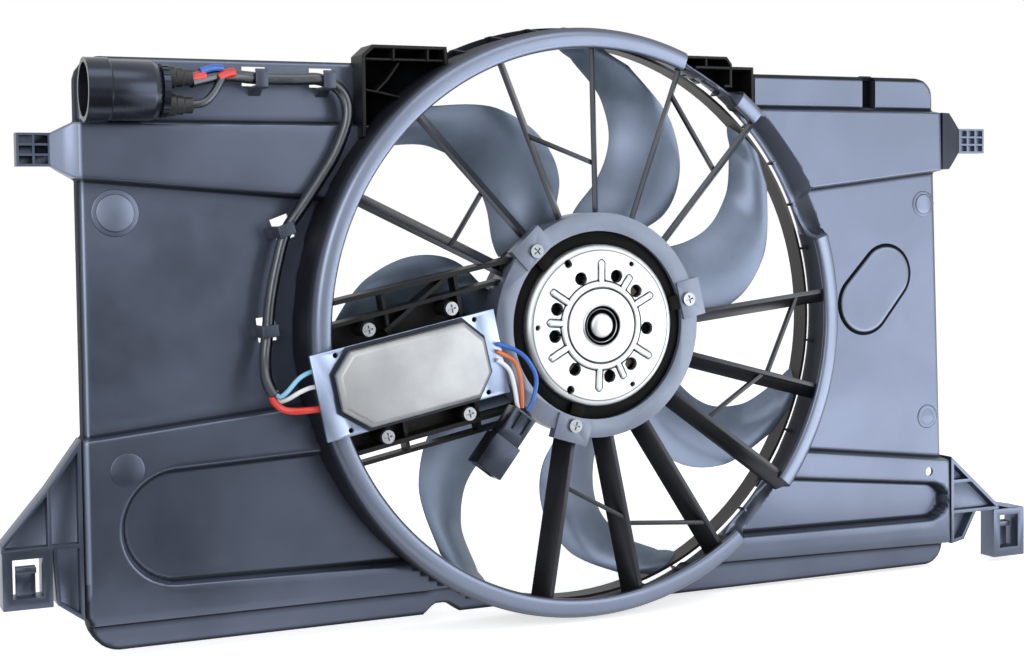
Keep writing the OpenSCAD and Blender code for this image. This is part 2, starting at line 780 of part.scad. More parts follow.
// Stamped end plate: round shoulder, raised centre, cooling holes and stiffening ridges
plate_hole_r = 4.2;
plate_holes_at = can_r - 19.8;
boss_r = 13.7;
emboss_r = 25;
module motor_end_plate() {
    color("#e9ecee") seat() difference() {
        union() {
            rotate_extrude() polygon(concat(
                [[8, end_face - 6.5], [10, end_face - 6.5], [10, end_face - 2], [can_r - 4, end_face - 2]],
                [[can_r - 2, end_face - 4], [can_r - 2, can_front], [can_r, can_front]],
                arc(can_r - 4, end_face - 4, 4, 0, 90, 5),
                [[emboss_r, end_face], [emboss_r - 1.5, end_face + 1.5], [boss_r + 1, end_face + 1.5],
                 [boss_r, end_face + 3], [10, end_face + 3], [8, end_face + 1.5]]
            ));
            for (a = [30:60:330]) rotate([0, 0, a]) translate([emboss_r, -1.3, end_face - 0.5])
                cube([20, 2.6, 1.6]);
            for (a = [55:120:295]) rotate([0, 0, a]) translate([emboss_r, -1.3, end_face - 0.5])
                cube([14, 2.6, 1.6]);
        }
        for (k = [0:2]) for (a = [115, 70, 40]) rotate([0, 0, a + 120 * k])
            translate([plate_holes_at, 0, end_face - 4]) cylinder(r = plate_hole_r, h = 8, $fn = 32);
        for (a = [0:60:300]) rotate([0, 0, a])
            translate([can_r - 8.5, 0, end_face - 4]) cylinder(r = 1.6, h = 8, $fn = 24);
    }
}
module motor_seal_ring() {
    color("#111214") seat() {
        tube(can_r + seat_gap, mount_inner_r - seat_gap, strut_front + 1, strut_front + 5);
        for (a = screw_angles) rotate([0, 0, a])
            translate([can_r + seat_gap + 0.5, -5, strut_front + 5])
                cube([mount_inner_r - can_r - 1.5, 10, 4]);
    }
}
module pan_screw(head_at, length, r, head_r) {
    difference() {
        union() {
            translate([0, 0, head_at - length]) cylinder(r = r, h = length, $fn = 24);
            translate([0, 0, head_at]) cylinder(r = head_r, h = 2.6, $fn = 32);
        }
        translate([-head_r * 0.62, -0.5, head_at + 1.2]) cube([head_r * 1.24, 1, 2]);
        translate([-0.5, -head_r * 0.62, head_at + 1.2]) cube([1, head_r * 1.24, 2]);
    }
}
module motor_screws() {
    color("#c8cacd") seat() for (a = screw_angles) rotate([0, 0, a])
        translate([screw_circle_r, 0, 0]) pan_screw(mount_face + 2, 14, 2.15, 4.6);
}

// Control module
cover_shape = [[-40, 26], [40, 26], [52, 12], [52.5, -11],
    [41, -26], [-36, -26], [-52.5, -11], [-52.5, 13]];
cover_chamfer = 3.5;
module module_plate() {
    color("#a9b4cc") seat() in_module() difference() {
        slab(module_face - module_plate, module_face)
            square([module_length, module_height], center = true);
        for (p = module_boss) translate([p[0], p[1], 0]) cylinder(r = 1.7, h = 80, $fn = 24);
    }
}
module module_gasket() {
    color("#202225") seat() in_module() slab(module_face, module_face + 1.2) difference() {
        offset(delta = 2) polygon(cover_shape);
        offset(delta = -1.5) polygon(cover_shape);
    }
}
module module_cover() {
    color("#b9bbc2") seat() in_module() difference() {
        hull() {
            slab(module_face + 1.2, module_face + cover_height - 3)
                offset(delta = -0.5) polygon(cover_shape);
            slab(module_face + 1.2, module_face + cover_height)
                offset(delta = -cover_chamfer) polygon(cover_shape);
        }
        slab(module_face, module_face + cover_height - 4)
            offset(delta = -cover_chamfer - 2) polygon(cover_shape);
    }
}
module module_board() {
    color("#2f6b3c") seat() in_module() {
        slab(module_face + 0.2, module_face + 1.8) square([74, 34], center = true);
        for (x = [-24, 0]) translate([x, -6, module_face + 1.8]) cube([14, 12, 2.6]);
    }
}
module module_screws() {
    color("#d9dadc") seat() in_module() for (p = carrier_boss) translate([p[0], p[1], 0])
        pan_screw(module_face - 4, 9, 1.55, 4.4);
}

// Round inlet connector above the left beam; its mouth faces the panel's side
module along_x(x) { translate([x, inlet_z, inlet_depth]) rotate([0, 90, 0]) children(); }
inlet_right = inlet_left + plug_shell_length;
module inlet_shell() {
    color("#2a2f3a") seat() along_x(inlet_left) rotate_extrude() polygon([
        [0, 16], [plug_shell_r - 3, 16], [plug_shell_r - 3, 0], [plug_shell_r, 0],
        [plug_shell_r, 14], [plug_shell_r - 1, 15], [plug_shell_r - 1, plug_shell_length - 6],
        [plug_shell_r - 5, plug_shell_length], [0, plug_shell_length]
    ]);
}
module inlet_flange() {
    color("#25282e") seat() along_x(inlet_right) difference() {
        cylinder(r = 16.5, h = 4);
        for (a = [0:15:345]) rotate([0, 0, a]) translate([16, -0.8, -1]) cube([3, 1.6, 6]);
    }
}
boot_spread = 8.5;
module inlet_boots() {
    color("#1b1c1f") seat() for (s = [-1, 1])
        translate([inlet_right + 4, inlet_z + s * boot_spread, inlet_depth]) rotate([0, 90, 0])
            rotate_extrude()
                polygon([[0, 0], [7, 0], [7, 5], [6, 6], [6, 10], [5.2, 11], [5.2, 16], [0, 16]]);
}
module inlet_pins() {
    color("#c9b27a") seat() for (y = [-6, 6]) for (z = [-5, 5])
        translate([inlet_left + 6, inlet_z + y - 1, inlet_depth + z - 0.4]) cube([10, 2, 0.8]);
}
module inlet_bracket() {
    color("#23262c") seat() difference() {
        translate([inlet_left + 14, inlet_z - 13, panel_face]) cube([26, 26, inlet_depth - panel_face]);
        along_x(inlet_left) cylinder(r = plug_shell_r + 0.1, h = 80);
    }
}

// Harness: route points in millimetres, right, up and depth
harness_route = [[-272, 160, 38], [-256, 164, 33], [-242, 165, 29], [-225, 164, 27], [-202, 164, 27],
    [-184, 164, 27], [-170, 156, 27], [-167, 140, 27.5], [-175, 118, 28], [-187, 99, 28],
    [-199, 82, 28], [-210, 66, 28], [-217, 42, 28], [-221, 22, 28], [-223, 4, 28], [-226, -14, 31],
    [-227, -28, 38], [-224, -38, 46]];
module harness_sleeve() {
    color("#17181a") seat() cord(through(harness_route, 3), harness_d, 10);
}
// Sprung hook that reaches over the harness: leg with a gusset, front and a lip at its free end
clip_width = 8;
clip_wall = 2;
module harness_clips() {
    half = harness_d / 2 + 0.4;
    color("#3a404b") seat() for (c = clip_places) {
        front = (c[1] == 0 ? 27 : 28) + half;
        leg = half + clip_wall;
        translate(c[0]) rotate([0, 0, c[1]]) rotate([90, 0, 90])
            linear_extrude(clip_width, center = true)
                polygon([
                    [-leg - 4, panel_face], [-leg, panel_face + 6], [-leg, front + clip_wall - 1],
                    [-leg + 1, front + clip_wall], [half, front + clip_wall],
                    [half + 1.5, front + clip_wall - 1], [half + 1.5, front - 1.2], [half - 0.5, front],
                    [-half, front], [-half, panel_face]
                ]);
    }
}
// Three wires leave the sleeve's end side by side and spread to the module's edge
red_route = [[-226.4, -36.2, 44.2], [-225, -41.5, 48.5], [-220, -45.5, 52.5], [-212, -46.5, 55],
    [-198, -46, 55]];
white_route = [[-222.9, -36.3, 42.7], [-221.6, -40.5, 46], [-217, -39, 50], [-210, -34.5, 54],
    [-203, -32, 55], [-196, -32, 55]];
blue_route = [[-223.5, -34.2, 45.6], [-222.3, -37.5, 49], [-218.5, -34.5, 52.5], [-211, -26, 54.5],
    [-203, -22, 55], [-198, -22, 55]];
module supply_wire_red() { color("#c8382f") seat() cord(through(red_route, 3), 4.4, 8); }
module supply_wire_white() { color("#e6e6e8") seat() cord(through(white_route, 3), 3, 8); }
module signal_wire_blue() { color("#7fb6d6") seat() cord(through(blue_route, 3), 3, 8); }

// Leads from the module to the motor's plug
lead_blue_route = [[-78, -9, 62.4], [-72, -11, 63], [-65, -14, 64.5], [-58, -20, 66], [-52, -32, 67],
    [-54, -46, 67], [-58, -54, 66]];
lead_orange_route = [[-78, -14, 62.4], [-72, -17, 62.6], [-66, -21, 63.5], [-63, -29, 65],
    [-62, -40, 66], [-62, -52, 66]];
lead_white_route = [[-78, -20, 62.4], [-73, -23, 62.6], [-69, -28, 63.5], [-67, -37, 65],
    [-66, -46, 66], [-65, -53, 66]];
module motor_lead_blue() { color("#2f5ea8") seat() cord(through(lead_blue_route, 3), 3, 8); }
module motor_lead_orange() { color("#c96a3a") seat() cord(through(lead_orange_route, 3), 3, 8); }
module motor_lead_white() { color("#e2e4e8") seat() cord(through(lead_white_route, 3), 3, 8); }
plug_turn = 38;
module at_lead_plug() { translate([-62, -55, 66]) rotate([0, 0, -plug_turn]) children(); }
module lead_plug() {
    color("#22262f") seat() at_lead_plug() difference() {
        translate([-9, -22, -6]) cube([18, 22, 13]);
        for (x = [-5.5, 2.5]) translate([x, -14, 5]) cube([3, 12, 3]);
    }
}
module lead_socket() {
    color("#191b20") seat() at_lead_plug() difference() {
        translate([-10.5, -46, -7.5]) cube([21, 24, 16]);
        translate([-7.5, -47, -4.5]) cube([15, 10, 10]);
    }
}

shroud_panel_left();
shroud_panel_right();
hook_bracket_left();
hook_bracket_right();
fan_barrel();
stator_struts();
strut_braces();
motor_mount_ring();
module_carrier();
fan_hub();
fan_blades();
fan_ring();
hub_insert();
hub_nut();
motor_shaft();
armature_core();
armature_winding();
commutator();
motor_can();
motor_magnets();
motor_bearings();
brush_plate();
motor_brushes();
motor_end_plate();
motor_seal_ring();
motor_screws();
module_plate();
module_gasket();
module_cover();
module_board();
module_screws();
inlet_shell();
inlet_flange();
inlet_boots();
inlet_pins();
inlet_bracket();
harness_sleeve();
harness_clips();
supply_wire_red();
supply_wire_white();
signal_wire_blue();
motor_lead_blue();
motor_lead_orange();
motor_lead_white();
lead_plug();
lead_socket();
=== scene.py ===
# %% [markdown]
# The radiator fan as a lesson
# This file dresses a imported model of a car's radiator fan: a black nylon shroud with a seven-bladed
# ring impeller, its electric motor, a control module and a clipped harness. The model arrives as a
# fixed frame of named solids. Turned and pressed solids keep their shape and get a finish, while the
# large moulded surfaces are worked out again here, because real mouldings have drafts and soft edges.

# %% Load the frame
import json
import bmesh
import bpy
import numpy as np
from mathutils import Matrix, Vector


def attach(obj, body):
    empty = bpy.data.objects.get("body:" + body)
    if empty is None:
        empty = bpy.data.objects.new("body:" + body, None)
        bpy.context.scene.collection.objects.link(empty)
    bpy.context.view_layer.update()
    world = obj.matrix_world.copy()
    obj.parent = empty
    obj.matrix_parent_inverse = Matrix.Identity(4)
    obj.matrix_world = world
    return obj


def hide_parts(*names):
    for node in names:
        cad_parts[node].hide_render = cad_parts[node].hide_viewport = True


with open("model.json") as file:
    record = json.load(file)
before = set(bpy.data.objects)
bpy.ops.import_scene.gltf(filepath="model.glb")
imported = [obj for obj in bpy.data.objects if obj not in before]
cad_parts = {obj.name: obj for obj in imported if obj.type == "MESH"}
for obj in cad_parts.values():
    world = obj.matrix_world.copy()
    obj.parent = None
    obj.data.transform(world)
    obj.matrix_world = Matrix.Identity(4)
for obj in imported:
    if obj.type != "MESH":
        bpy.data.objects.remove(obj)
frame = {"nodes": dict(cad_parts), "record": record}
scene = bpy.context.scene
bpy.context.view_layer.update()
nodes = frame["nodes"]
print("solids in the frame:", len(nodes))

# %% [markdown]
# Directions and meshes
# On the bench a fan is measured from its axis: how far right, how far up, and how deep towards the
# engine. All shapes below use those three numbers in millimetres, and one function turns them to
# the frame's metres. A surface is a grid of such points, and the grid's corners make its faces. Each
# point may carry a number, named hollow, that paints light and shade: a foot between two surfaces
# gets painted shade and stays matt, while a ridge top with a negative number gets a painted highlight.

# %% Measures to metres, grids to meshes
MERGE = 2e-6


def to_frame(p):
    """Right, up and depth in mm become x, z and -y in metres."""
    p = np.asarray(p, float)
    return np.stack([p[..., 0], -p[..., 2], p[..., 1]], -1) / 1000.0


def grid_faces(rows, cols, close_rows=False, close_cols=False):
    """Each face joins point (i, j) to its next neighbours along i and j; a closed way wraps round."""
    i, j = np.meshgrid(np.arange(rows - (not close_rows)), np.arange(cols - (not close_cols)), indexing="ij")
    k, l = (i + 1) % rows, (j + 1) % cols
    return np.stack([i * cols + j, k * cols + j, k * cols + l, i * cols + l], -1).reshape(-1, 4)


def capped(rings, hollow=0.0, caps=(0.0, 0.0)):
    """A skin that joins each ring to the next, and a flat cap on the first ring and on the last."""
    loop = np.arange(rings.shape[1])[None]
    skin = (rings, grid_faces(*rings.shape[:2], close_cols=True), hollow + np.zeros(rings.shape[:2]))
    return [skin] + [(rings[end], loop, caps[end] + np.zeros(rings.shape[1])) for end in (0, -1)]


def joined(name, sheets, one_wall=False):
    """A mesh from sheets of points, faces and, where it is known, how hollow each point lies.

    Points that meet are merged, empty faces dropped and normals turned out; a single wall faces the engine.
    """
    sheets = [(p, f, m[0] if m else np.zeros(np.shape(p)[:-1])) for p, f, *m in sheets]
    points = np.concatenate([to_frame(p).reshape(-1, 3) for p, f, m in sheets])
    hollow = np.concatenate([np.ravel(m) for p, f, m in sheets]).astype(np.float32)
    starts = np.cumsum([0] + [np.size(m) for p, f, m in sheets])
    faces = sum([(np.asarray(f) + s).tolist() for s, (p, f, m) in zip(starts, sheets)], [])
    mesh = bpy.data.meshes.new(name)
    mesh.from_pydata(points.tolist(), [], faces)
    mesh.attributes.new("hollow", "FLOAT", "POINT").data.foreach_set("value", hollow)
    bm = bmesh.new()
    bm.from_mesh(mesh)
    bmesh.ops.remove_doubles(bm, verts=bm.verts, dist=MERGE)
    bmesh.ops.dissolve_degenerate(bm, edges=bm.edges, dist=MERGE / 2)
    bmesh.ops.recalc_face_normals(bm, faces=bm.faces)
    if one_wall and sum(f.normal.y * f.calc_area() for f in bm.faces) > 0:
        bmesh.ops.reverse_faces(bm, faces=bm.faces)
    bm.to_mesh(mesh)
    bm.free()
    return mesh


# %% Pieces and what is cut from them
def in_scene(name, data):
    """A new object, linked to the scene."""
    obj = bpy.data.objects.new(name, data)
    scene.collection.objects.link(obj)
    return obj


def piece(name, sheets, slot, replaced=(), body="shroud", smooth=40.0, wall=0.0):
    """One object from sheets with its slot's finish; a single wall gets its thickness in mm from Solidify."""
    mesh = joined(name, sheets, wall > 0)
    mesh.shade_smooth()
    mesh.set_sharp_from_angle(angle=np.radians(smooth))
    mesh.materials.append(finish_of[slot])
    obj = in_scene(name, mesh)
    if wall:
        thick = obj.modifiers.new("wall", "SOLIDIFY")
        thick.thickness, thick.offset, thick.use_even_offset = wall / 1000.0, -1.0, False
    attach(obj, body)
    if replaced:
        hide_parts(*replaced)
    print(name, len(mesh.polygons), "faces")
    return obj


def cut(obj, cutters):
    """Takes the cutters' space out of a piece, with its wall made first, and keeps the result as its mesh."""
    tool = in_scene("tool", joined("tool", cutters))
    away = obj.modifiers.new("cut", "BOOLEAN")
    away.operation, away.object, away.solver = "DIFFERENCE", tool, "EXACT"
    made = bpy.data.meshes.new_from_object(obj.evaluated_get(bpy.context.evaluated_depsgraph_get()))
    obj.modifiers.clear()
    obj.data = made
    bpy.data.objects.remove(tool)
    print(obj.name, "after its cuts:", len(made.polygons), "faces")


# %% [markdown]
# Small forms that come back
# A moulding is full of small bosses, walls and lids. A few shapes cover them: an outline whose
# corners are rounded, a block that rises from an outline, a disc turned about the fan's direction, a
# thin wall along a path, a neck through several sections and a tray of square pockets.

# %% Outlines
def soft_outline(corners, radius, steps=4):
    """Each corner becomes a parabola that starts and ends one radius before and after it."""
    corners = np.asarray(corners, float)
    t = np.linspace(0, 1, steps + 1)[:, None]

    def towards(other):
        """The point one radius along each side, or half way where the side is short."""
        way = other - corners
        length = np.linalg.norm(way, axis=-1, keepdims=True)
        return (corners + way * np.minimum(radius / np.maximum(length, 1e-9), 0.5))[..., None, :]

    start, finish = towards(np.roll(corners, 1, -2)), towards(np.roll(corners, -1, -2))
    curve = start * (1 - t) ** 2 + corners[..., None, :] * 2 * t * (1 - t) + finish * t ** 2
    return curve.reshape(*corners.shape[:-2], -1, 2)


def inset(outline, by):
    """Moves every side of a counter-clockwise outline inwards by the same distance."""
    ahead = np.roll(outline, -1, 0) - outline
    ahead = ahead / np.maximum(np.linalg.norm(ahead, axis=1, keepdims=True), 1e-9)
    square = np.stack([-ahead[:, 1], ahead[:, 0]], 1)
    both = square + np.roll(square, 1, 0)
    return outline + by * both / np.maximum(np.sum(both * square, 1, keepdims=True), 0.4)


# %% Blocks, discs, walls, necks and trays
def block(outline, profile, hollow=0.0):
    """Rings of the outline, each moved in by the profile's first number and set at its second as depth."""
    rings = np.stack([np.column_stack([inset(outline, by), np.full(len(outline), depth)])
                      for by, depth in profile])
    marks = hollow + np.zeros(rings.shape[:2])
    return capped(rings, marks, (0.0, marks[-1]))


def turned(profile, centre=(0.0, 0.0), steps=64, hollow=None):
    """Radius and depth of the profile, turned about the depth axis through the centre."""
    profile = np.asarray(profile, float)
    a = np.linspace(0, 2 * np.pi, steps, endpoint=False)[None]
    r, depth = profile[:, :1], profile[:, 1:]
    points = np.stack([centre[0] + r * np.cos(a), centre[1] + r * np.sin(a), depth + 0 * a], -1)
    marks = np.zeros(len(profile)) if hollow is None else np.asarray(hollow, float)
    return [(points, grid_faces(len(profile), steps, close_cols=True), marks[:, None] + 0 * a)]


def fence(path, width, low, high, soft=0.5, hollow=0.0):
    """A wall of even width along a path, from low to high, with both top edges broken by soft."""
    path = np.asarray(path, float)
    step = np.diff(path, axis=0)
    step /= np.linalg.norm(step, axis=1, keepdims=True)
    square = np.stack([-step[:, 1], step[:, 0]], 1)
    before, after = np.concatenate([square[:1], square]), np.concatenate([square, square[-1:]])
    both = (before + after) / np.sum((before + after) * after, 1, keepdims=True)
    half = width / 2
    across = np.array([-half, -half, -half + soft, half - soft, half, half])
    top = np.broadcast_to(np.asarray(high, float), len(path))[:, None]
    up = np.concatenate([0 * top + low, top - soft, top, top, top - soft, 0 * top + low], 1)
    return capped(np.concatenate([path[:, None] + both[:, None] * across[:, None], up[..., None]], 2), hollow)


def neck(stations, hollow, radius=1.5):
    """Rounded sections at each x, from low to high z and from back to front depth, joined along x."""
    x, z0, z1, d0, d1 = np.asarray(stations, float).T
    corners = np.stack([np.stack(pair, 1) for pair in ((z0, d0), (z1, d0), (z1, d1), (z0, d1))], 1)
    ring = soft_outline(corners, radius)
    points = np.concatenate([np.broadcast_to(x[:, None, None], (*ring.shape[:2], 1)), ring], 2)
    return capped(points, hollow, (hollow, hollow))


def tray(x0, x1, z0, z1, columns, rows, back, floor, top, hollow=0.9, rim=1.6, draft=0.1):
    """A pad with a grid of pockets: its depth is top on the walls and floor inside each pocket.

    A wall is rim wide, and it falls from top to floor across a draft to each side of its edge.
    """
    def lines(low, high, count):
        """Where the lines across the tray lie, and 1 on those that belong to a wall's top."""
        pitch = (high - low - rim) / count
        first = low + rim + pitch * np.arange(count)[:, None]
        at = first + np.array([-draft, draft, pitch - rim - draft, pitch - rim + draft])
        return (np.concatenate([[low, low], at.ravel(), [high, high]]),
                np.concatenate([[1, 1], np.tile([1, 0, 0, 1], count), [1, 1]]))

    (x, on_x), (z, on_z) = lines(x0, x1, columns), lines(z0, z1, rows)
    wall_here = np.maximum(on_x[:, None], on_z[None])
    depth = floor + (top - floor) * wall_here
    depth[[0, -1], :] = back
    depth[:, [0, -1]] = back
    points = np.stack(np.broadcast_arrays(x[:, None], z[None], depth), -1)
    index = np.arange(depth.size).reshape(depth.shape)
    rim_loop = np.concatenate([index[0, :-1], index[:-1, -1], index[-1, :0:-1], index[:0:-1, 0]])
    # The pocket floors carry painted shade, as strong as hollow: dark on the left tab, light on the right.
    return [(points, grid_faces(*depth.shape), hollow * (1 - wall_here)),
            (points.reshape(-1, 3), rim_loop[None])]


def slabs_at(angles, r0, r1, half, back, front, front_out=None, hollow=0.0):
    """Small ribs that stand out from a circle: 8 corners each, at r0 and r1, half a width to each side."""
    front_out = front if front_out is None else front_out
    r = np.repeat([r0, r1], 4)
    t = np.array([-half, half, half, -half] * 2)
    depth = np.array([back, back, front, front, back, back, front_out, front_out])
    a = np.radians(np.asarray(angles, float))[:, None]
    points = np.stack([r * np.cos(a) - t * np.sin(a), r * np.sin(a) + t * np.cos(a), depth + 0 * a], -1)
    box = np.array([[0, 1, 2, 3], [4, 5, 6, 7], [0, 1, 5, 4], [1, 2, 6, 5], [2, 3, 7, 6], [3, 0, 4, 7]])
    return [(points, (box[None] + 8 * np.arange(len(a))[:, None, None]).reshape(-1, 4),
             np.full(points.shape[:2], hollow))]


# %% [markdown]
# Finishes
# Nearly everything here is nylon 66 with glass fibre, moulded in etched steel tools. It is black
# through and through, satin, with a fine grain, and it shows faint flow clouds and dust. Its skin
# reflects a little blue. Metals are pressed, rolled or cast. Each finish starts from that, and every
# pattern is sized in real millimetres.

# %% Colours and one helper for nodes
def linear(hex_colour):
    """An sRGB hex colour becomes linear red, green, blue and alpha."""
    c = np.array([int(hex_colour[i:i + 2], 16) for i in (1, 3, 5)]) / 255.0
    c = np.where(c <= 0.04045, c / 12.92, ((c + 0.055) / 1.055) ** 2.4)
    return (*c.tolist(), 1.0)


def add(tree, kind, inputs=None, out=0, **settings):
    """Adds one node and gives its output called out: inputs are values or sockets to link, settings its own."""
    node = tree.nodes.new(kind)
    for key, value in settings.items():
        setattr(node, key, value)
    for key, value in (inputs or {}).items():
        if isinstance(value, bpy.types.NodeSocket):
            tree.links.new(value, node.inputs[key])
        else:
            node.inputs[key].default_value = value
    return node.outputs[out] if node.outputs else node


def fresh(owner):
    """Turns on the nodes of a material or a world and empties their tree."""
    owner.use_nodes = True
    owner.node_tree.nodes.clear()
    return owner.node_tree


# %% Moulded plastics and rubbers, and metals
CLOUD_MM, SHEEN_MM, GRAIN_RISE, GRIT_RISE = 60.0, 110.0, 0.0004, 0.0002


# The foot colour is painted shade in hollows, and the last colour is a painted highlight on ridge tops.
def moulded(name, dark, pale, roughness=0.42, grain_mm=0.8, grain=0.10, ior=1.53, level=0.5, tint="#ffffff",
            foot="#050608", painted_highlight_colour="#8d97ab"):
    """Satin nylon and its kin, from noises that read Object coordinates.

    Flow clouds of CLOUD_MM pass between two shades and the etched grain rises as bump. Where the hollow number
    is high the colour goes to foot as painted shade, the specular level drops as painted shade too, and the
    skin turns matt; where it is negative the colour goes to a pale one as a painted highlight. The sheen
    changes over SHEEN_MM, as the skin cooled unevenly. A span is a value, its two ends and what they become.
    """
    mat = bpy.data.materials.new(name)
    tree = fresh(mat)
    place = add(tree, "ShaderNodeTexCoord", out="Object")
    cloud, speck, sheen = (add(tree, "ShaderNodeTexNoise", {"Vector": place, **more}) for more in (
        {"Scale": 1000.0 / CLOUD_MM, "Detail": 5.0, "Roughness": 0.62}, {"Scale": 1000.0 / grain_mm, "Detail": 2.0},
        {"Scale": 1000.0 / SHEEN_MM, "Detail": 3.0, "Distortion": 0.6}))
    hollow = add(tree, "ShaderNodeAttribute", out="Fac", attribute_name="hollow")
    # The second span paints shade in hollows, the third a highlight where the number is negative, and the sixth
    # dims the specular level in hollows as painted shade.
    spans = ((cloud, 0.36, 0.66, 0.0, 1.0), (hollow, 0.1, 1.0, 0.0, 1.0), (hollow, -0.2, -1.2, 0.0, 0.6),
             (cloud, 0.35, 0.65, roughness - 0.02, roughness + 0.04), (hollow, 0.1, 1.0, 0.0, 0.4),
             (hollow, 0.1, 1.0, level, 0.06 * level), (sheen, 0.3, 0.7, 0.72, 1.0))
    clouded, painted_shade_share, painted_highlight_share, rough, matt, level_dimmed_in_shade, cooled = (
        add(tree, "ShaderNodeMapRange", dict(enumerate(span))) for span in spans)
    tone = linear(dark)
    for where, shade in ((clouded, pale), (painted_shade_share, foot), (painted_highlight_share, painted_highlight_colour)):
        tone = add(tree, "ShaderNodeMix", {"Factor": where, "A": tone, "B": linear(shade)}, 2, data_type="RGBA")
    surface = add(tree, "ShaderNodeBsdfPrincipled", {
        "Base Color": tone, "IOR": ior, "Specular Tint": linear(tint),
        "Roughness": add(tree, "ShaderNodeMath", {0: rough, 1: matt}, operation="ADD"),
        "Specular IOR Level": add(tree, "ShaderNodeMath", {0: level_dimmed_in_shade, 1: cooled}, operation="MULTIPLY"),
        "Normal": add(tree, "ShaderNodeBump", {"Height": speck, "Strength": grain, "Distance": GRAIN_RISE})})
    add(tree, "ShaderNodeOutputMaterial", {"Surface": surface})
    return mat


def metal(name, colour, stain_colour, roughness, grain_mm, stretch=(1, 1, 1), rise=0.06, cloud_mm=25.0,
          foot="#0c0c0d"):
    """Metal: scratches or grit of grain_mm, stretched along a direction, over soft stains of cloud_mm."""
    mat = bpy.data.materials.new(name)
    tree = fresh(mat)
    place = add(tree, "ShaderNodeTexCoord", out="Object")
    along = add(tree, "ShaderNodeMapping", {"Vector": place, "Scale": stretch})
    grit, stain = (add(tree, "ShaderNodeTexNoise", {"Vector": way, "Scale": 1000.0 / mm, "Detail": detail})
                   for way, mm, detail in ((along, grain_mm, 3.0), (place, cloud_mm, 4.0)))
    hollow = add(tree, "ShaderNodeAttribute", out="Fac", attribute_name="hollow")
    # The second span paints shade: hollows take the foot colour.
    stained, painted_shade_share, rough = (add(tree, "ShaderNodeMapRange", dict(enumerate(span))) for span in (
        (stain, 0.35, 0.65, 0.0, 1.0), (hollow, 0.1, 1.0, 0.0, 1.0),
        (grit, 0.3, 0.7, roughness - 0.05, roughness + 0.08)))
    tone = linear(stain_colour)
    for where, shade in ((stained, colour), (painted_shade_share, foot)):
        tone = add(tree, "ShaderNodeMix", {"Factor": where, "A": tone, "B": linear(shade)}, 2, data_type="RGBA")
    surface = add(tree, "ShaderNodeBsdfPrincipled", {
        "Base Color": tone, "Metallic": 1.0, "Roughness": rough,
        "Normal": add(tree, "ShaderNodeBump", {"Height": grit, "Strength": rise, "Distance": GRIT_RISE})})
    add(tree, "ShaderNodeOutputMaterial", {"Surface": surface})
    return mat


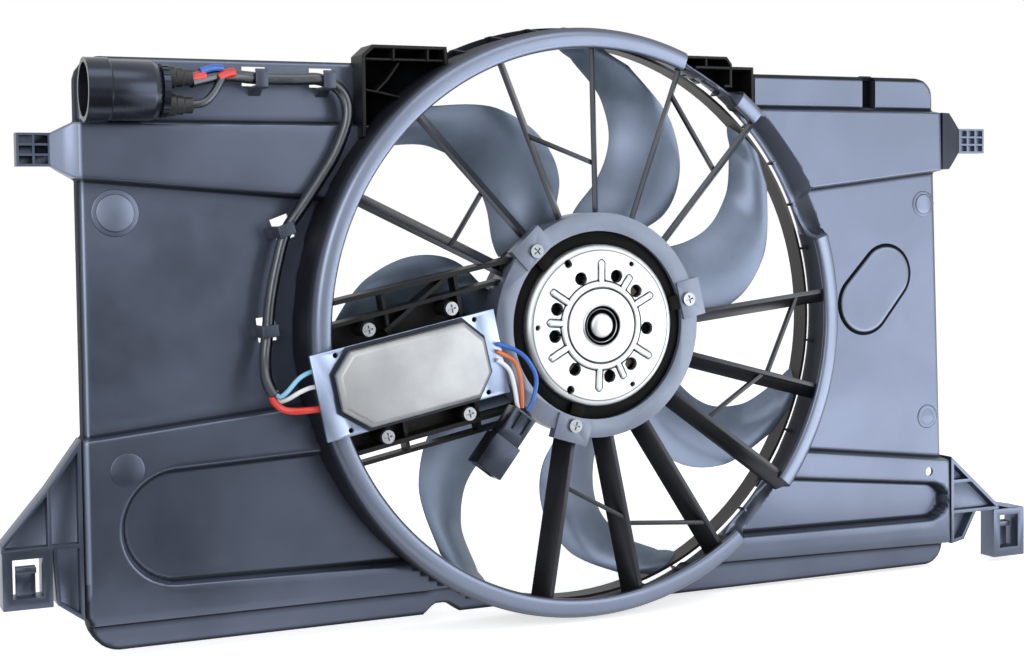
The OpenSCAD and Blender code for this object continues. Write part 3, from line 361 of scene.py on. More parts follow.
# %% Every finish of the fan
SKIN = "#bac6e4"
finish_of = {
    # Nylon 66 with glass fibre from etched tools: satin, bluish in its skin, with painted shade in hollows and a
    # painted highlight on ridge tops.
    "panel_plastic": moulded("nylon_etched_panel", "#252931", "#2f343e", 0.31, 0.8, 0.05, 1.88, 1.0, SKIN),
    "barrel_plastic": moulded("nylon_satin_barrel", "#181a1f", "#25282e", 0.29, 0.8, 0.03, 1.9, 1.0, SKIN),
    "strut_plastic": moulded("nylon_black_struts", "#131315", "#1d1c1e", 0.34, 0.8, 0.03, 1.55, 0.6, "#cfd3e0"),
    "mount_plastic": moulded("nylon_satin_motor_ring", "#444a55", "#575e6a", 0.36, 0.8, 0.05, 1.8, 1.0, "#c4cde2"),
    "carrier_plastic": moulded("nylon_black_carrier", "#0a0a0b", "#111113", 0.46, 0.8, 0.05, 1.45, 0.3),
    "hub_plastic": moulded("nylon_satin_hub", "#17191c", "#202226", 0.42, 0.8, 0.08, 1.5, 0.4),
    "blade_plastic": moulded("nylon_satin_blades", "#434e5a", "#5a6673", 0.36, 0.8, 0.04, 1.85, 1.0, SKIN),
    "ring_plastic": moulded("nylon_satin_ring", "#1c1817", "#272220", 0.45, 0.8, 0.06, 1.5, 0.4),
    # Turned, ground, stacked and zinc-plated steel, and copper: fine scratches break up their shine.
    "insert_steel": metal("turned_steel", "#a9abad", "#8b8d90", 0.34, 0.3),
    "nut_steel": metal("zinc_plated_nut", "#b9bbbf", "#999ca0", 0.36, 0.4),
    "shaft_steel": metal("ground_steel", "#d2d4d8", "#b7b9bd", 0.20, 0.2),
    "core_steel": metal("stacked_sheet_steel", "#7c7f84", "#5f6266", 0.42, 0.5, (1, 8, 1)),
    "winding_copper": metal("enamelled_copper", "#b5652b", "#8f4a1f", 0.30, 0.8, (1, 6, 1), 0.3),
    "commutator_copper": metal("turned_copper", "#c58450", "#a86c3c", 0.30, 0.3),
    "can_steel": metal("zinc_plated_drawn_steel", "#b4b8bd", "#9a9ea4", 0.34, 0.6),
    # Parts in and round the motor: sintered and cured ones are dull and even, ground and plated ones shine.
    "magnet_ferrite": moulded("sintered_ferrite", "#2c2d30", "#3a3b3f", 0.6, 0.4, 0.3),
    "bearing_steel": metal("bearing_steel", "#c8cbd0", "#aeb1b6", 0.22, 0.2),
    "brush_phenolic": moulded("phenolic_brush_plate", "#43392c", "#54483a", 0.5, 0.5, 0.1),
    "brush_carbon": moulded("carbon_brush", "#1a1a1b", "#242425", 0.55, 0.3, 0.2),
    "end_plate_zinc": metal("pale_zinc_pressed_steel", "#c6c9cb", "#b9bdc0", 0.45, 0.5),
    "seal_rubber": moulded("moulded_rubber_seal", "#030303", "#060607", 0.5, 0.6, 0.1, 1.45, 0.1),
    "screw_zinc": metal("zinc_plated_screw", "#9c9ea2", "#7f8286", 0.34, 0.3),
    # The module: rolled sheet with its streaks across, a blasted casting, and sealant squeezed between.
    "module_aluminium": metal("rolled_aluminium_sheet", "#a9b7d0", "#9aa8c2", 0.42, 0.4, (12, 1, 1)),
    "gasket_rubber": moulded("cured_sealant", "#141b26", "#1b2432", 0.5, 0.6, 0.15, 1.5, 0.4),
    "cover_aluminium": metal("blasted_cast_aluminium", "#a8aaac", "#9b9da0", 0.52, 0.35, rise=0.12),
    "board_laminate": moulded("glass_laminate_board", "#1f5a33", "#2b6f40", 0.35, 0.6, 0.1),
    # Harness side: glossier nylon, soft rubber, tinned brass, woven tape and smooth coloured PVC.
    "connector_plastic": moulded("nylon_satin_connector", "#0e1013", "#16181d", 0.26, 0.6, 0.04, 1.6, 0.7, SKIN),
    "boot_rubber": moulded("moulded_rubber_boot", "#0d0e10", "#141518", 0.45, 0.6, 0.15),
    "pin_brass": metal("tinned_brass_pin", "#cdbb8c", "#b3a173", 0.28, 0.3),
    "harness_tape": moulded("cloth_wrapped_harness", "#040405", "#070709", 0.31, 0.6, 0.05, 1.7, 0.8, "#dfe8f5"),
    "clip_plastic": moulded("nylon_clip", "#26292f", "#343840", 0.36, 0.6, 0.08, 1.6, 0.8, SKIN),
}
for wire, dark, pale in (("red", "#b3261f", "#cc3a30"), ("white", "#c6c8cc", "#dcdde0"),
                         ("pale_blue", "#6fa9cc", "#8cc0dd"), ("blue", "#24509a", "#356bc0"),
                         ("orange", "#b4592c", "#d0713f")):
    finish_of["wire_" + wire] = moulded("pvc_wire_" + wire, dark, pale, 0.32, 0.5, 0.05)
own_finish = {"stator_struts": "strut_plastic", "strut_braces": "strut_plastic"}
slot_of = {s["node"]: s["material_slot"] for s in frame["record"]["subparts"]}
print("finishes:", len(finish_of))

# %% [markdown]
# Solids that keep their shape
# A pressed or moulded edge is never sharp, and it is the edge that catches the light. The frame's
# solids come as loose triangles, so a weld joins them, flat parts are merged, and a narrow bevel
# rounds what is left. Round solids get smooth shading from a small node group, because their mesh
# itself is not to be touched: it marks each face smooth and keeps edges over FOLD degrees sharp.

# %% Smooth shading as a modifier
FOLD = 34
shading = bpy.data.node_groups.new("smooth_below_angle", "GeometryNodeTree")
shading.interface.new_socket("Geometry", in_out="INPUT", socket_type="NodeSocketGeometry")
shading.interface.new_socket("Geometry", in_out="OUTPUT", socket_type="NodeSocketGeometry")
inlet = add(shading, "NodeGroupInput")
fold = add(shading, "GeometryNodeInputMeshEdgeAngle")
gentle = add(shading, "FunctionNodeCompare", {0: fold, 1: float(np.radians(FOLD))},
             data_type="FLOAT", operation="LESS_EQUAL")
faces_done = add(shading, "GeometryNodeSetShadeSmooth", {"Geometry": inlet}, domain="FACE")
edges_done = add(shading, "GeometryNodeSetShadeSmooth",
                 {"Geometry": faces_done, "Shade Smooth": gentle}, domain="EDGE")
add(shading, "NodeGroupOutput", {0: edges_done})
print("edges over", FOLD, "degrees stay sharp")


# %% Dress the solids
SAME_PLANE, CORNER = 0.6, 32


def dress(name, bevel_mm=0.0):
    """Puts the node's finish on its solid, with an edge rounding of bevel_mm where it is given."""
    obj = nodes[name]
    obj.data.materials.clear()
    obj.data.materials.append(finish_of[own_finish.get(name, slot_of[name])])
    weld = obj.modifiers.new("weld", "WELD")
    weld.merge_threshold = MERGE
    if bevel_mm:
        flat = obj.modifiers.new("flat", "DECIMATE")
        flat.decimate_type, flat.angle_limit = "DISSOLVE", np.radians(SAME_PLANE)
        edge = obj.modifiers.new("edge", "BEVEL")
        edge.width, edge.segments, edge.limit_method = bevel_mm / 1000.0, 2, "ANGLE"
        edge.angle_limit, edge.use_clamp_overlap, edge.harden_normals = np.radians(CORNER), True, False
    soft = obj.modifiers.new("soft", "NODES")
    soft.node_group = shading


bevels = {
    "hook_bracket_left": 0.6, "hook_bracket_right": 0.6, "stator_struts": 0.7, "strut_braces": 0.6,
    "motor_mount_ring": 0.8, "module_carrier": 0.5, "module_plate": 0.3, "module_cover": 0.8, "lead_plug": 0.5,
    "lead_socket": 0.5, "inlet_bracket": 0.5, "harness_clips": 0.4, "motor_seal_ring": 0.4}
for node_name in nodes:
    dress(node_name, bevels.get(node_name, 0.0))
print("edges rounded on", len(bevels), "solids")

# %% [markdown]
# Panels
# Each side of the shroud is one thin sheet of nylon, 2.5 mm thick, that steps up to a beam at the
# top and to a field at the bottom. All its long steps are straight lines from the panel's side to
# the barrel, so the grid's rows run along those lines, close together where the sheet climbs. A
# plain square grid would turn such slanting steps into stairs.

# %% How a moulded step climbs
def climb(rise, radius, slope_deg, bend=5):
    """Across and up: a hollow arc, a straight drafted wall and a round arc, from 0 to rise, centred on 0."""
    a = np.radians(np.linspace(0, slope_deg, bend))
    up = radius * (1 - np.cos(a))
    run = (rise - 2 * up[-1]) / np.tan(a[-1])
    first = np.stack([radius * np.sin(a), up], 1)
    last = np.stack([2 * radius * np.sin(a[-1]) + run - radius * np.sin(a[::-1]), rise - up[::-1]], 1)
    path = np.concatenate([first, last])
    return path[:, 0] - path[-1, 0] / 2, path[:, 1]


FACE, RISE, WALL, BARREL, INNER, ROLL = 14.0, 8.0, 2.5, 202.0, 199.5, 4.0
step_at, step_up = climb(RISE, 1.8, 78)
soft_at, soft_up = climb(RISE, 2.0, 72, 7)


def beyond(x, z, line):
    """Distance of a point above a straight line given by two points."""
    (x0, z0), (x1, z1) = line
    slope = (z1 - z0) / (x1 - x0)
    return (z - z0 - slope * (x - x0)) / np.hypot(1, slope)


def between(x, z, low, high):
    """How far a point lies above one line and below another, whichever is less."""
    return np.minimum(beyond(x, z, low), -beyond(x, z, high))


def within(x, z, x0, x1, z0, z1):
    """How far a point lies inside a rectangle, to its nearest side."""
    return np.minimum(np.minimum(x - x0, x1 - x), np.minimum(z - z0, z1 - z))


# %% Rows that follow the steps
ROW_KNOTS = np.array([0.0, 0.05, 0.3, 0.8, 1.6, 2.6, ROLL])
SIDE_KNOTS = np.array([0.0, 0.06, 0.3, 0.8, 1.6, 2.6, ROLL])


def rows_along(lines, spacings, at):
    """Rows as (height at x = 0, slope): dense at each line by the climb's own knots, even between."""
    rows = []
    for k, ((x0, z0), (x1, z1)) in enumerate(lines):
        slope = (z1 - z0) / (x1 - x0)
        base = z0 - slope * x0
        knots = at * np.hypot(1, slope)
        if k == 0:
            knots = ROW_KNOTS
        if k == len(lines) - 1:
            knots = -ROW_KNOTS[::-1]
        if rows:
            b0, s0 = rows[-1]
            count = max(int(round(abs(base + knots[0] - b0) / spacings[k - 1])), 2)
            t = np.linspace(0, 1, count + 1)[1:-1]
            rows += [(b0 + (base + knots[0] - b0) * f, s0 + (slope - s0) * f) for f in t]
        rows += [(base + d, slope) for d in knots]
    return np.array(rows)


# %% One panel from its lines
REACH, DEEPEST, SKIRT = 1.4, 0.32, (0.0, 0.45, 0.9)
STAND_OUT, STAND_FADE, STAND_END, SIDE_X, MIDDLE = 2.6, 12.0, 172, 330.0, 22
TOP_ZONE, LOW_ZONE, LIGHT_ZONE, SIDE_ZONE = 100, -150, -160, 315


def panel_sheet(sign, side, lines, spacings, columns, rise, corners, edge_r=None, low_bump=None, deep=None):
    """x runs from the side to the barrel along each row; depth is the face plus what rise gives.

    side(z) is the panel's side, corners are (centre x, centre z, radius), columns are x values, and
    edge_r(angle) is the radius at which the sheet meets the barrel. The sheet rolls over an edge of radius
    ROLL and goes down to the radiator rim round its three free sides, and where it is raised its side
    stands out by STAND_OUT. A point gets painted shade as far as the mean of the four places REACH mm away
    is higher, all of it at DEEPEST mm, and a painted highlight where that mean is lower. Painted shade also
    darkens the rolled edge at the top, side and bottom, a painted highlight lies along it on the left, and
    the painted shade that deep(x, z) gives counts too.
    """
    rows = rows_along(lines, spacings, step_at)
    base, slope = rows[:, :1], rows[:, 1:]
    z_side = base + slope * sign * SIDE_X
    edge_x = side(z_side)
    for cx, cz, r in corners:
        past = (z_side - cz) * np.sign(cz)
        arc = cx + sign * np.sqrt(np.clip(r * r - np.clip(past, 0, r) ** 2, 0, None))
        edge_x = np.where(past > 0, arc, edge_x)
    # Each row's line meets the barrel's circle; the radius there depends on the angle, so it goes round thrice.
    square, inner_r = 1 + slope ** 2, BARREL - 1
    for turn in range(3):
        inner_x = np.sqrt(np.clip(base ** 2 * slope ** 2 - square * (base ** 2 - inner_r ** 2), 400, None))
        inner_x = (-base * slope * sign + inner_x) / square * sign
        if edge_r is not None:
            inner_r = edge_r(np.degrees(np.arctan2(base + slope * inner_x, inner_x))) - 1.2
    inner_x = sign * np.clip(inner_x * sign, MIDDLE, None)
    start = edge_x - sign * SIDE_KNOTS[None]
    across = sign * np.minimum(sign * np.array([columns]), sign * (edge_x - sign * (ROLL + 0.6)))
    across = sign * np.maximum(sign * across, sign * inner_x)
    x = np.concatenate([start, across, inner_x], 1)
    z = base + slope * x
    level = rise(x, z)
    # Painted shade where the neighbours stand higher, painted highlight where they lie lower.
    around = (rise(x - REACH, z) + rise(x + REACH, z) + rise(x, z - REACH) + rise(x, z + REACH)) / 4
    hollow = np.clip((around - level) / DEEPEST, -1.5, 0.85)
    if deep is not None:
        hollow = np.maximum(hollow, deep(x, z))
    stand = sign * STAND_OUT * np.clip(level[:, :1] / RISE, 0, 1)
    fade = np.clip(1 - sign * (edge_x - x) / STAND_FADE, 0, 1)
    x = x + stand * fade * (np.abs(z) < STAND_END)
    in_by = np.minimum(sign * (edge_x + stand - x), np.minimum(base[-1] - z, z - base[0]))
    for cx, cz, r in corners:
        inside = (sign * (x - cx) > 0) & (np.sign(cz) * (z - cz) > 0)
        in_by = np.where(inside, np.minimum(in_by, r - np.hypot(x - cx, z - cz)), in_by)
    in_by = np.clip(in_by, 0, ROLL)
    depth = FACE + level - (ROLL - np.sqrt(ROLL ** 2 - (ROLL - in_by) ** 2))
    # Painted shade on the rolled edge at the top, side and bottom, and a painted highlight along it on the left.
    painted_edge_shade, painted_low_shade = (np.interp(in_by, ends, [0.9, 0.0]) for ends in ([0.4, 2.0], [1.8, 3.6]))
    painted_edge_light = np.interp(in_by, [1.7, 2.4, 3.9, ROLL], [0, 1.2, 1.2, 0])
    hollow = np.maximum(hollow, painted_edge_shade * ((z > TOP_ZONE) | (sign * x > SIDE_ZONE)))
    hollow = np.maximum(hollow, painted_low_shade * (z < LOW_ZONE)) - painted_edge_light * ((x < -SIDE_ZONE) & (z > LIGHT_ZONE))
    if low_bump is not None:
        z = z + low_bump(x) * np.clip(1 - (z - base[0]) / 20, 0, 1)
    grid = np.stack([x, z, depth], -1)

    def lowered(part, share):
        """The same places at a share of their depth."""
        return np.concatenate([part[..., :2], part[..., 2:] * share], 2)

    grid = np.concatenate([lowered(grid[:, :1], f) for f in SKIRT] + [grid], 1)
    grid[[0, -1], :3] = grid[[0, -1], 3:4]
    below, above = ([lowered(grid[row], f) for f in SKIRT] for row in (slice(0, 1), slice(-1, None)))
    grid = np.concatenate(below + [grid] + above[::-1], 0)
    return grid, grid_faces(*grid.shape[:2]), np.pad(hollow, ((3, 3), (3, 0)), mode="edge")


def pad(x, z, r, depth, rings=(), proud=0.8, pale=0.0):
    """A flat round pad, proud of the sheet: painted shade at its foot and in its rings, a painted highlight on its
    face as strong as pale, and turned rings in it.
    """
    top = depth + proud
    grooves = [(r * g + d, top + h) for g in rings for d, h in ((0.5, 0.0), (0.0, -0.18), (-0.5, 0.0))]
    profile = [(r + 0.5, depth - 0.3), (r + 0.4, depth + 0.1), (r, depth + 0.6 * proud), (r - 0.5, top),
               *grooves, (0.0, top)]
    marks = [1, 1, 0, -pale] + [-pale, 0.3, -pale] * len(rings) + [-pale]
    return turned(profile, (x, z), 72, marks)


# %% Left panel
left_lines = [
    ((-338, -196), (0, -196)), ((-338, -178), (0, -178)), ((-289, -155), (-136, -157)),
    ((-288, -83.5), (-136, -76)), ((-338, -61), (-210, -48.5)), ((-336, 100.6), (-197, 89)),
    ((-338, 136), (0, 136)), ((-338, 177), (0, 177))]
LEFT_ROUND = (-280, -119.11, 36)


def left_rise(x, z):
    """Field between two lines less its round-ended recess, and the beam above."""
    cx, cz, r = LEFT_ROUND
    field, beam = between(x, z, left_lines[1], left_lines[4]), between(x, z, left_lines[5], left_lines[6])
    pit = np.where(x < cx, r - np.hypot(x - cx, z - cz), between(x, z, left_lines[2], left_lines[3]))
    return (np.interp(field, step_at, step_up) - np.interp(pit, soft_at, soft_up)
            + np.interp(beam, step_at, step_up))


def left_notch(x):
    """The bottom edge rises by 7 mm between x = -113 and -86."""
    return np.interp(x, [-113, -105, -96, -86], [0, 7, 7, 0])


left_columns = np.unique(np.concatenate([np.arange(-332, -321, 2.0), np.arange(-321, -286, 1.0),
                                         np.arange(-286, -272, 1.6), np.arange(-272, -20, 3.0)]))
left_panel = panel_sheet(-1, lambda z: np.full_like(z, -338.0), left_lines, [4, 4, 1.4, 4, 6, 5, 5],
                         left_columns, left_rise, [(-322, 161, 16), (-317, -175, 21)], None, left_notch)
left = piece("left_panel", [left_panel], "panel_plastic", ["shroud_panel_left"], wall=WALL)

# %% Windows behind the clips
clip_places = [(-225.0, 164.0, 0), (-180.0, 164.0, 0), (-210.02, 67.83, -70), (-221.98, 3.1, -84)]
windows = []
for cx, cz, turn in clip_places:
    c, s = np.cos(np.radians(turn)), np.sin(np.radians(turn))
    corners = np.array([(-8, -4), (8, -4), (8, 8.5), (-8, 8.5)])
    spun = np.stack([cx + corners[:, 0] * c - corners[:, 1] * s, cz + corners[:, 0] * s + corners[:, 1] * c], 1)
    windows += block(spun, [(0, 5), (0, 26)])
cut(left, windows)

# %% Left panel's pads, neck, tab and corner pocket
pocket = [(-157, 127.5), (-157, 180), (-150.5, 186), (-100, 186), (-99, 176)]
pocket_rib_a = [(-155.5, 158), (-146, 156.6), (-131, 153.5)]
pocket_rib_b = [(-147, 157), (-139, 165), (-131, 176)]
piece("left_pads", pad(-315.5, 79.5, 14.5, FACE, (), 0.4) + pad(-315.5, 79.5, 11.6, FACE + 0.4, (), 0.5, 0.55)
      + pad(-313, -81, 10.5, FACE + RISE, (), 0.35), "panel_plastic")
# The left neck carries a painted highlight.
piece("left_neck", neck([(-334, 101, 135.5, 3, 21.8), (-341, 101.2, 135.4, 3, 21.4),
                         (-348, 104.8, 132, 5, 18.4), (-354.5, 108.7, 128.8, 7, 15)], -0.9), "panel_plastic")
piece("left_tab", tray(-374.5, -354, 108.5, 129, 2, 3, 6, 9, 15), "panel_plastic")
pocket_floor = [(-157, 130), (-112, 168), (-98, 177), (-99.5, 185.5), (-151, 185.5), (-156.5, 180)]
# The pocket uses the darker carrier finish as painted shade, and its floor carries painted shade too.
piece("left_pocket",
      fence(pocket, 2.4, 11.5, 34) + fence(pocket_rib_a, 1.6, 13, 31) + fence(pocket_rib_b, 1.6, 13, 29)
      + fence([(-136, 177), (-136, 185)], 1.6, 13, 33.5) + fence([(-112, 177), (-112, 185)], 1.6, 13, 33.5)
      + fence([(-156, 178), (-99, 178)], 1.8, 13, 32)
      + block(np.array(pocket_floor), [(0, 12), (0, 15)], 0.9), "carrier_plastic")

# %% [markdown]
# Barrel
# The barrel is a tube whose lip curls inwards. Three times its wall drops to a low rim: at the upper
# right, over a long stretch at the right, and at the lower right, where the panel is drawn up to
# meet it in a shallow slope. So the section at each angle is a mix of two: the full one with its
# lip, and a low one with the slope. The mix is how high the rim stands there.

# %% The rim's height round the fan
def cut_knots(start, end, floor, corner_start, corner_end):
    """Angle and depth along a cut's edge: straight down, a quarter-round, the floor and back up."""
    t = np.radians(np.linspace(0, 90, 9))
    down = [start + np.degrees(corner_start * (1 - np.sin(t[::-1])) / BARREL),
            floor + corner_start * (1 - np.cos(t[::-1]))]
    up = [end - np.degrees(corner_end * (1 - np.sin(t)) / BARREL), floor + corner_end * (1 - np.cos(t))]
    angles = np.concatenate([[start - 0.05], down[0], up[0], [end + 0.05]])
    depths = np.concatenate([[LIP], down[1], up[1], [LIP]])
    return np.stack([angles, depths])


LIP, CURL, CREST_R, EDGE_R, SLOPE_R = 53.5, 42.5, 193.0, 187.5, 214.0
LOW_RIM, TOP_RIM = 16.5, 27
rim_knots = np.concatenate([
    [[-180], [LIP]], cut_knots(-53.5, -38, LOW_RIM, 14, 14), cut_knots(17.1, 47.2, LOW_RIM, 22, 7),
    cut_knots(53, 68, TOP_RIM, 18, 18), [[180], [LIP]]], 1)


def rim_floor(angle):
    """Depth of the low rim: one value in the upper cut and another elsewhere."""
    return np.where((angle > 50) & (angle < 70), TOP_RIM, LOW_RIM)


def lift(angle):
    """How high the rim stands, from 0 at a cut's floor to 1 at the full lip."""
    low = rim_floor(angle)
    return (np.interp(angle, *rim_knots) - low) / (LIP - low)


def slope_r(angle):
    """Radius at which the low section meets the panel: 214 to 220 mm at the right, none above."""
    wide = np.interp(angle, [-40, 15, 24, 47], [SLOPE_R, SLOPE_R + 6, SLOPE_R + 5, SLOPE_R])
    return np.where((angle > -60) & (angle < 50), wide, BARREL + 0.4)


def edge_r(angle):
    """Radius of the panel's inner edge: it draws back over the whole of a cut that has a slope."""
    return BARREL + (slope_r(angle) - BARREL) * np.clip((1 - lift(angle)) / 0.1, 0, 1)


# %% [markdown]
# Right panel
# The right panel has the same parts mirrored, and besides an egg-shaped groove, two flat strips with
# a deep gap between them along the top, and a narrow deep recess in its field.

# %% Right panel
right_lines = [
    ((30, -202), (325, -202)), ((133.6, -181), (329, -185)), ((149, -162.5), (307, -164.7)),
    ((191, -124.5), (307, -136.5)), ((204.6, -105), (322.4, -118.6)), ((191, 91.4), (324.5, 106.3)),
    ((150, 151), (324, 151)), ((95, 177), (315, 177))]
RIGHT_ROUND = (307, -150.5, 14)
STRIPS, STRIP_GAP = (152, 313, 153.5, 175.5), (248.2, 259.4, 153.2, 175.6)


def right_rise(x, z):
    """Field less its recess, beam, and strips less their gap."""
    cx, cz, r = RIGHT_ROUND
    field, beam = between(x, z, right_lines[1], right_lines[4]), between(x, z, right_lines[5], right_lines[6])
    pit = np.where(x > cx, r - np.hypot(x - cx, z - cz), between(x, z, right_lines[2], right_lines[3]))
    strip, gap = within(x, z, *STRIPS), within(x, z, *STRIP_GAP)
    return (np.interp(field, step_at, step_up) - 1.4 * np.interp(pit, step_at, step_up)
            + np.interp(beam, step_at, step_up) + np.interp(strip, [-0.5, 0.5], [0, 1.2])
            - np.interp(gap, [-0.3, 0.9], [0, 7]))


def right_painted_shade(x, z):
    """The gap between the strips lies in its own shade, and so does the strips' upper edge."""
    return np.maximum(np.interp(within(x, z, *STRIP_GAP), [-0.2, 0.6], [0, 1]), 0.9 * (z > 173.6) * (x > 130))


right_columns = np.unique(np.concatenate([
    np.arange(22, 222, 3.0), np.arange(222, 298, 1.3), np.arange(298, 324, 1.6), [151.4, 151.9, 152.5],
    [247.8, 248.1, 248.5, 249.1, 249.8, 257.8, 258.5, 259.1, 259.5, 259.9], [312.4, 312.9, 313.5]]))[::-1]
right_panel = panel_sheet(1, lambda z: 315 + 10 * (161 - z) / 346, right_lines,
                          [4, 4, 2.0, 4, 1.35, 5, 1.4], right_columns, right_rise,
                          [(299, 161, 16), (308, -185, 17)], edge_r, None, right_painted_shade)
right = piece("right_panel", [right_panel], "panel_plastic", ["shroud_panel_right"], wall=WALL)
HOLE_X, HOLE_Z, HOLE_R = 305, -127, 3.5
hole = np.radians(np.arange(0, 360, 10))
cut(right, block(np.stack([HOLE_X + HOLE_R * np.cos(hole), HOLE_Z + HOLE_R * np.sin(hole)], 1), [(0, 2), (0, 26)]))

# %% Right panel's egg, pads, neck, tab and boxes
EGG_ENDS = ((270, 27, 21), (250, 5, 22))


def egg_outline(steps=40):
    """Two half-circles joined, square to the line between their centres: the far one first, then the near."""
    (fx, fz, _), (nx, nz, _) = EGG_ENDS
    lean = np.degrees(np.arctan2(fz - nz, fx - nx))
    halves = []
    for (cx, cz, r), first in zip(EGG_ENDS, (lean - 90, lean + 90)):
        a = np.radians(np.linspace(first, first + 180, steps))
        halves.append(np.stack([cx + r * np.cos(a), cz + r * np.sin(a)], 1))
    return np.concatenate(halves)


# Painted shade along the egg's foot, then a painted highlight on its raised face.
egg_painted_shading = np.array([0.0, 1.0, 1.0, 0.9, -0.3, -0.6, 0.0])[:, None]
egg = block(egg_outline(), [(-2.7, 13.5), (-2.3, 14.06), (-0.2, 14.1), (0.1, 14.5), (0.5, 15.0), (1.2, 15.3),
                            (3.5, 15.4)], egg_painted_shading)
piece("right_egg", egg, "panel_plastic", smooth=60)
piece("right_pads", pad(305.3, 80.2, 9.6, FACE, (), 0.4) + pad(305.3, 80.2, 7.2, FACE + 0.4, (), 0.5, 0.6)
      + pad(309, -85, 8.8, FACE, (0.7,), 0.5), "panel_plastic")
# The right neck carries painted shade.
piece("right_neck", neck([(318, 106.6, 150.4, 3, 21.8), (325, 106.9, 150.2, 3, 21.4),
                          (332, 113, 144.5, 5, 18.4), (339.4, 119.8, 138.3, 7, 15)], 0.75), "panel_plastic")
piece("right_tab", tray(339, 363.4, 119.5, 138.5, 3, 3, 6, 12, 15, 0.2), "panel_plastic")


def circle_walk(start, end, r, steps):
    """Points on a circle about the fan's axis from one angle to another."""
    a = np.radians(np.linspace(start, end, steps))
    return np.stack([r * np.cos(a), r * np.sin(a)], 1)


low_box = np.concatenate([[(141, 145), (141, 179), (94, 179)], circle_walk(62.2, 46.0, 202.5, 8)])
top_box = np.concatenate([[(117.5, 166), (123, 166), (123, 181.5), (119.3, 186), (84, 186)],
                          circle_walk(65.2, 55.0, 202.5, 6)])
# The boxes use the darker carrier finish as painted shade, and their floors carry painted shade too.
piece("right_boxes",
      fence(low_box[:3], 2.0, 11.5, 30) + fence(top_box[:5], 2.0, 11.5, 30)
      + fence([(103, 180), (103, 185.2)], 1.6, 12, 29.5) + block(low_box, [(0, 12), (0, 15.5)], 0.9)
      + block(top_box, [(0, 12), (0, 15.6)], 0.9), "carrier_plastic")

# %% The barrel's sections
TOP_EDGE, BOTTOM_EDGE, FLARE, FLARE_TOP = 177, 196, 1.7, 3


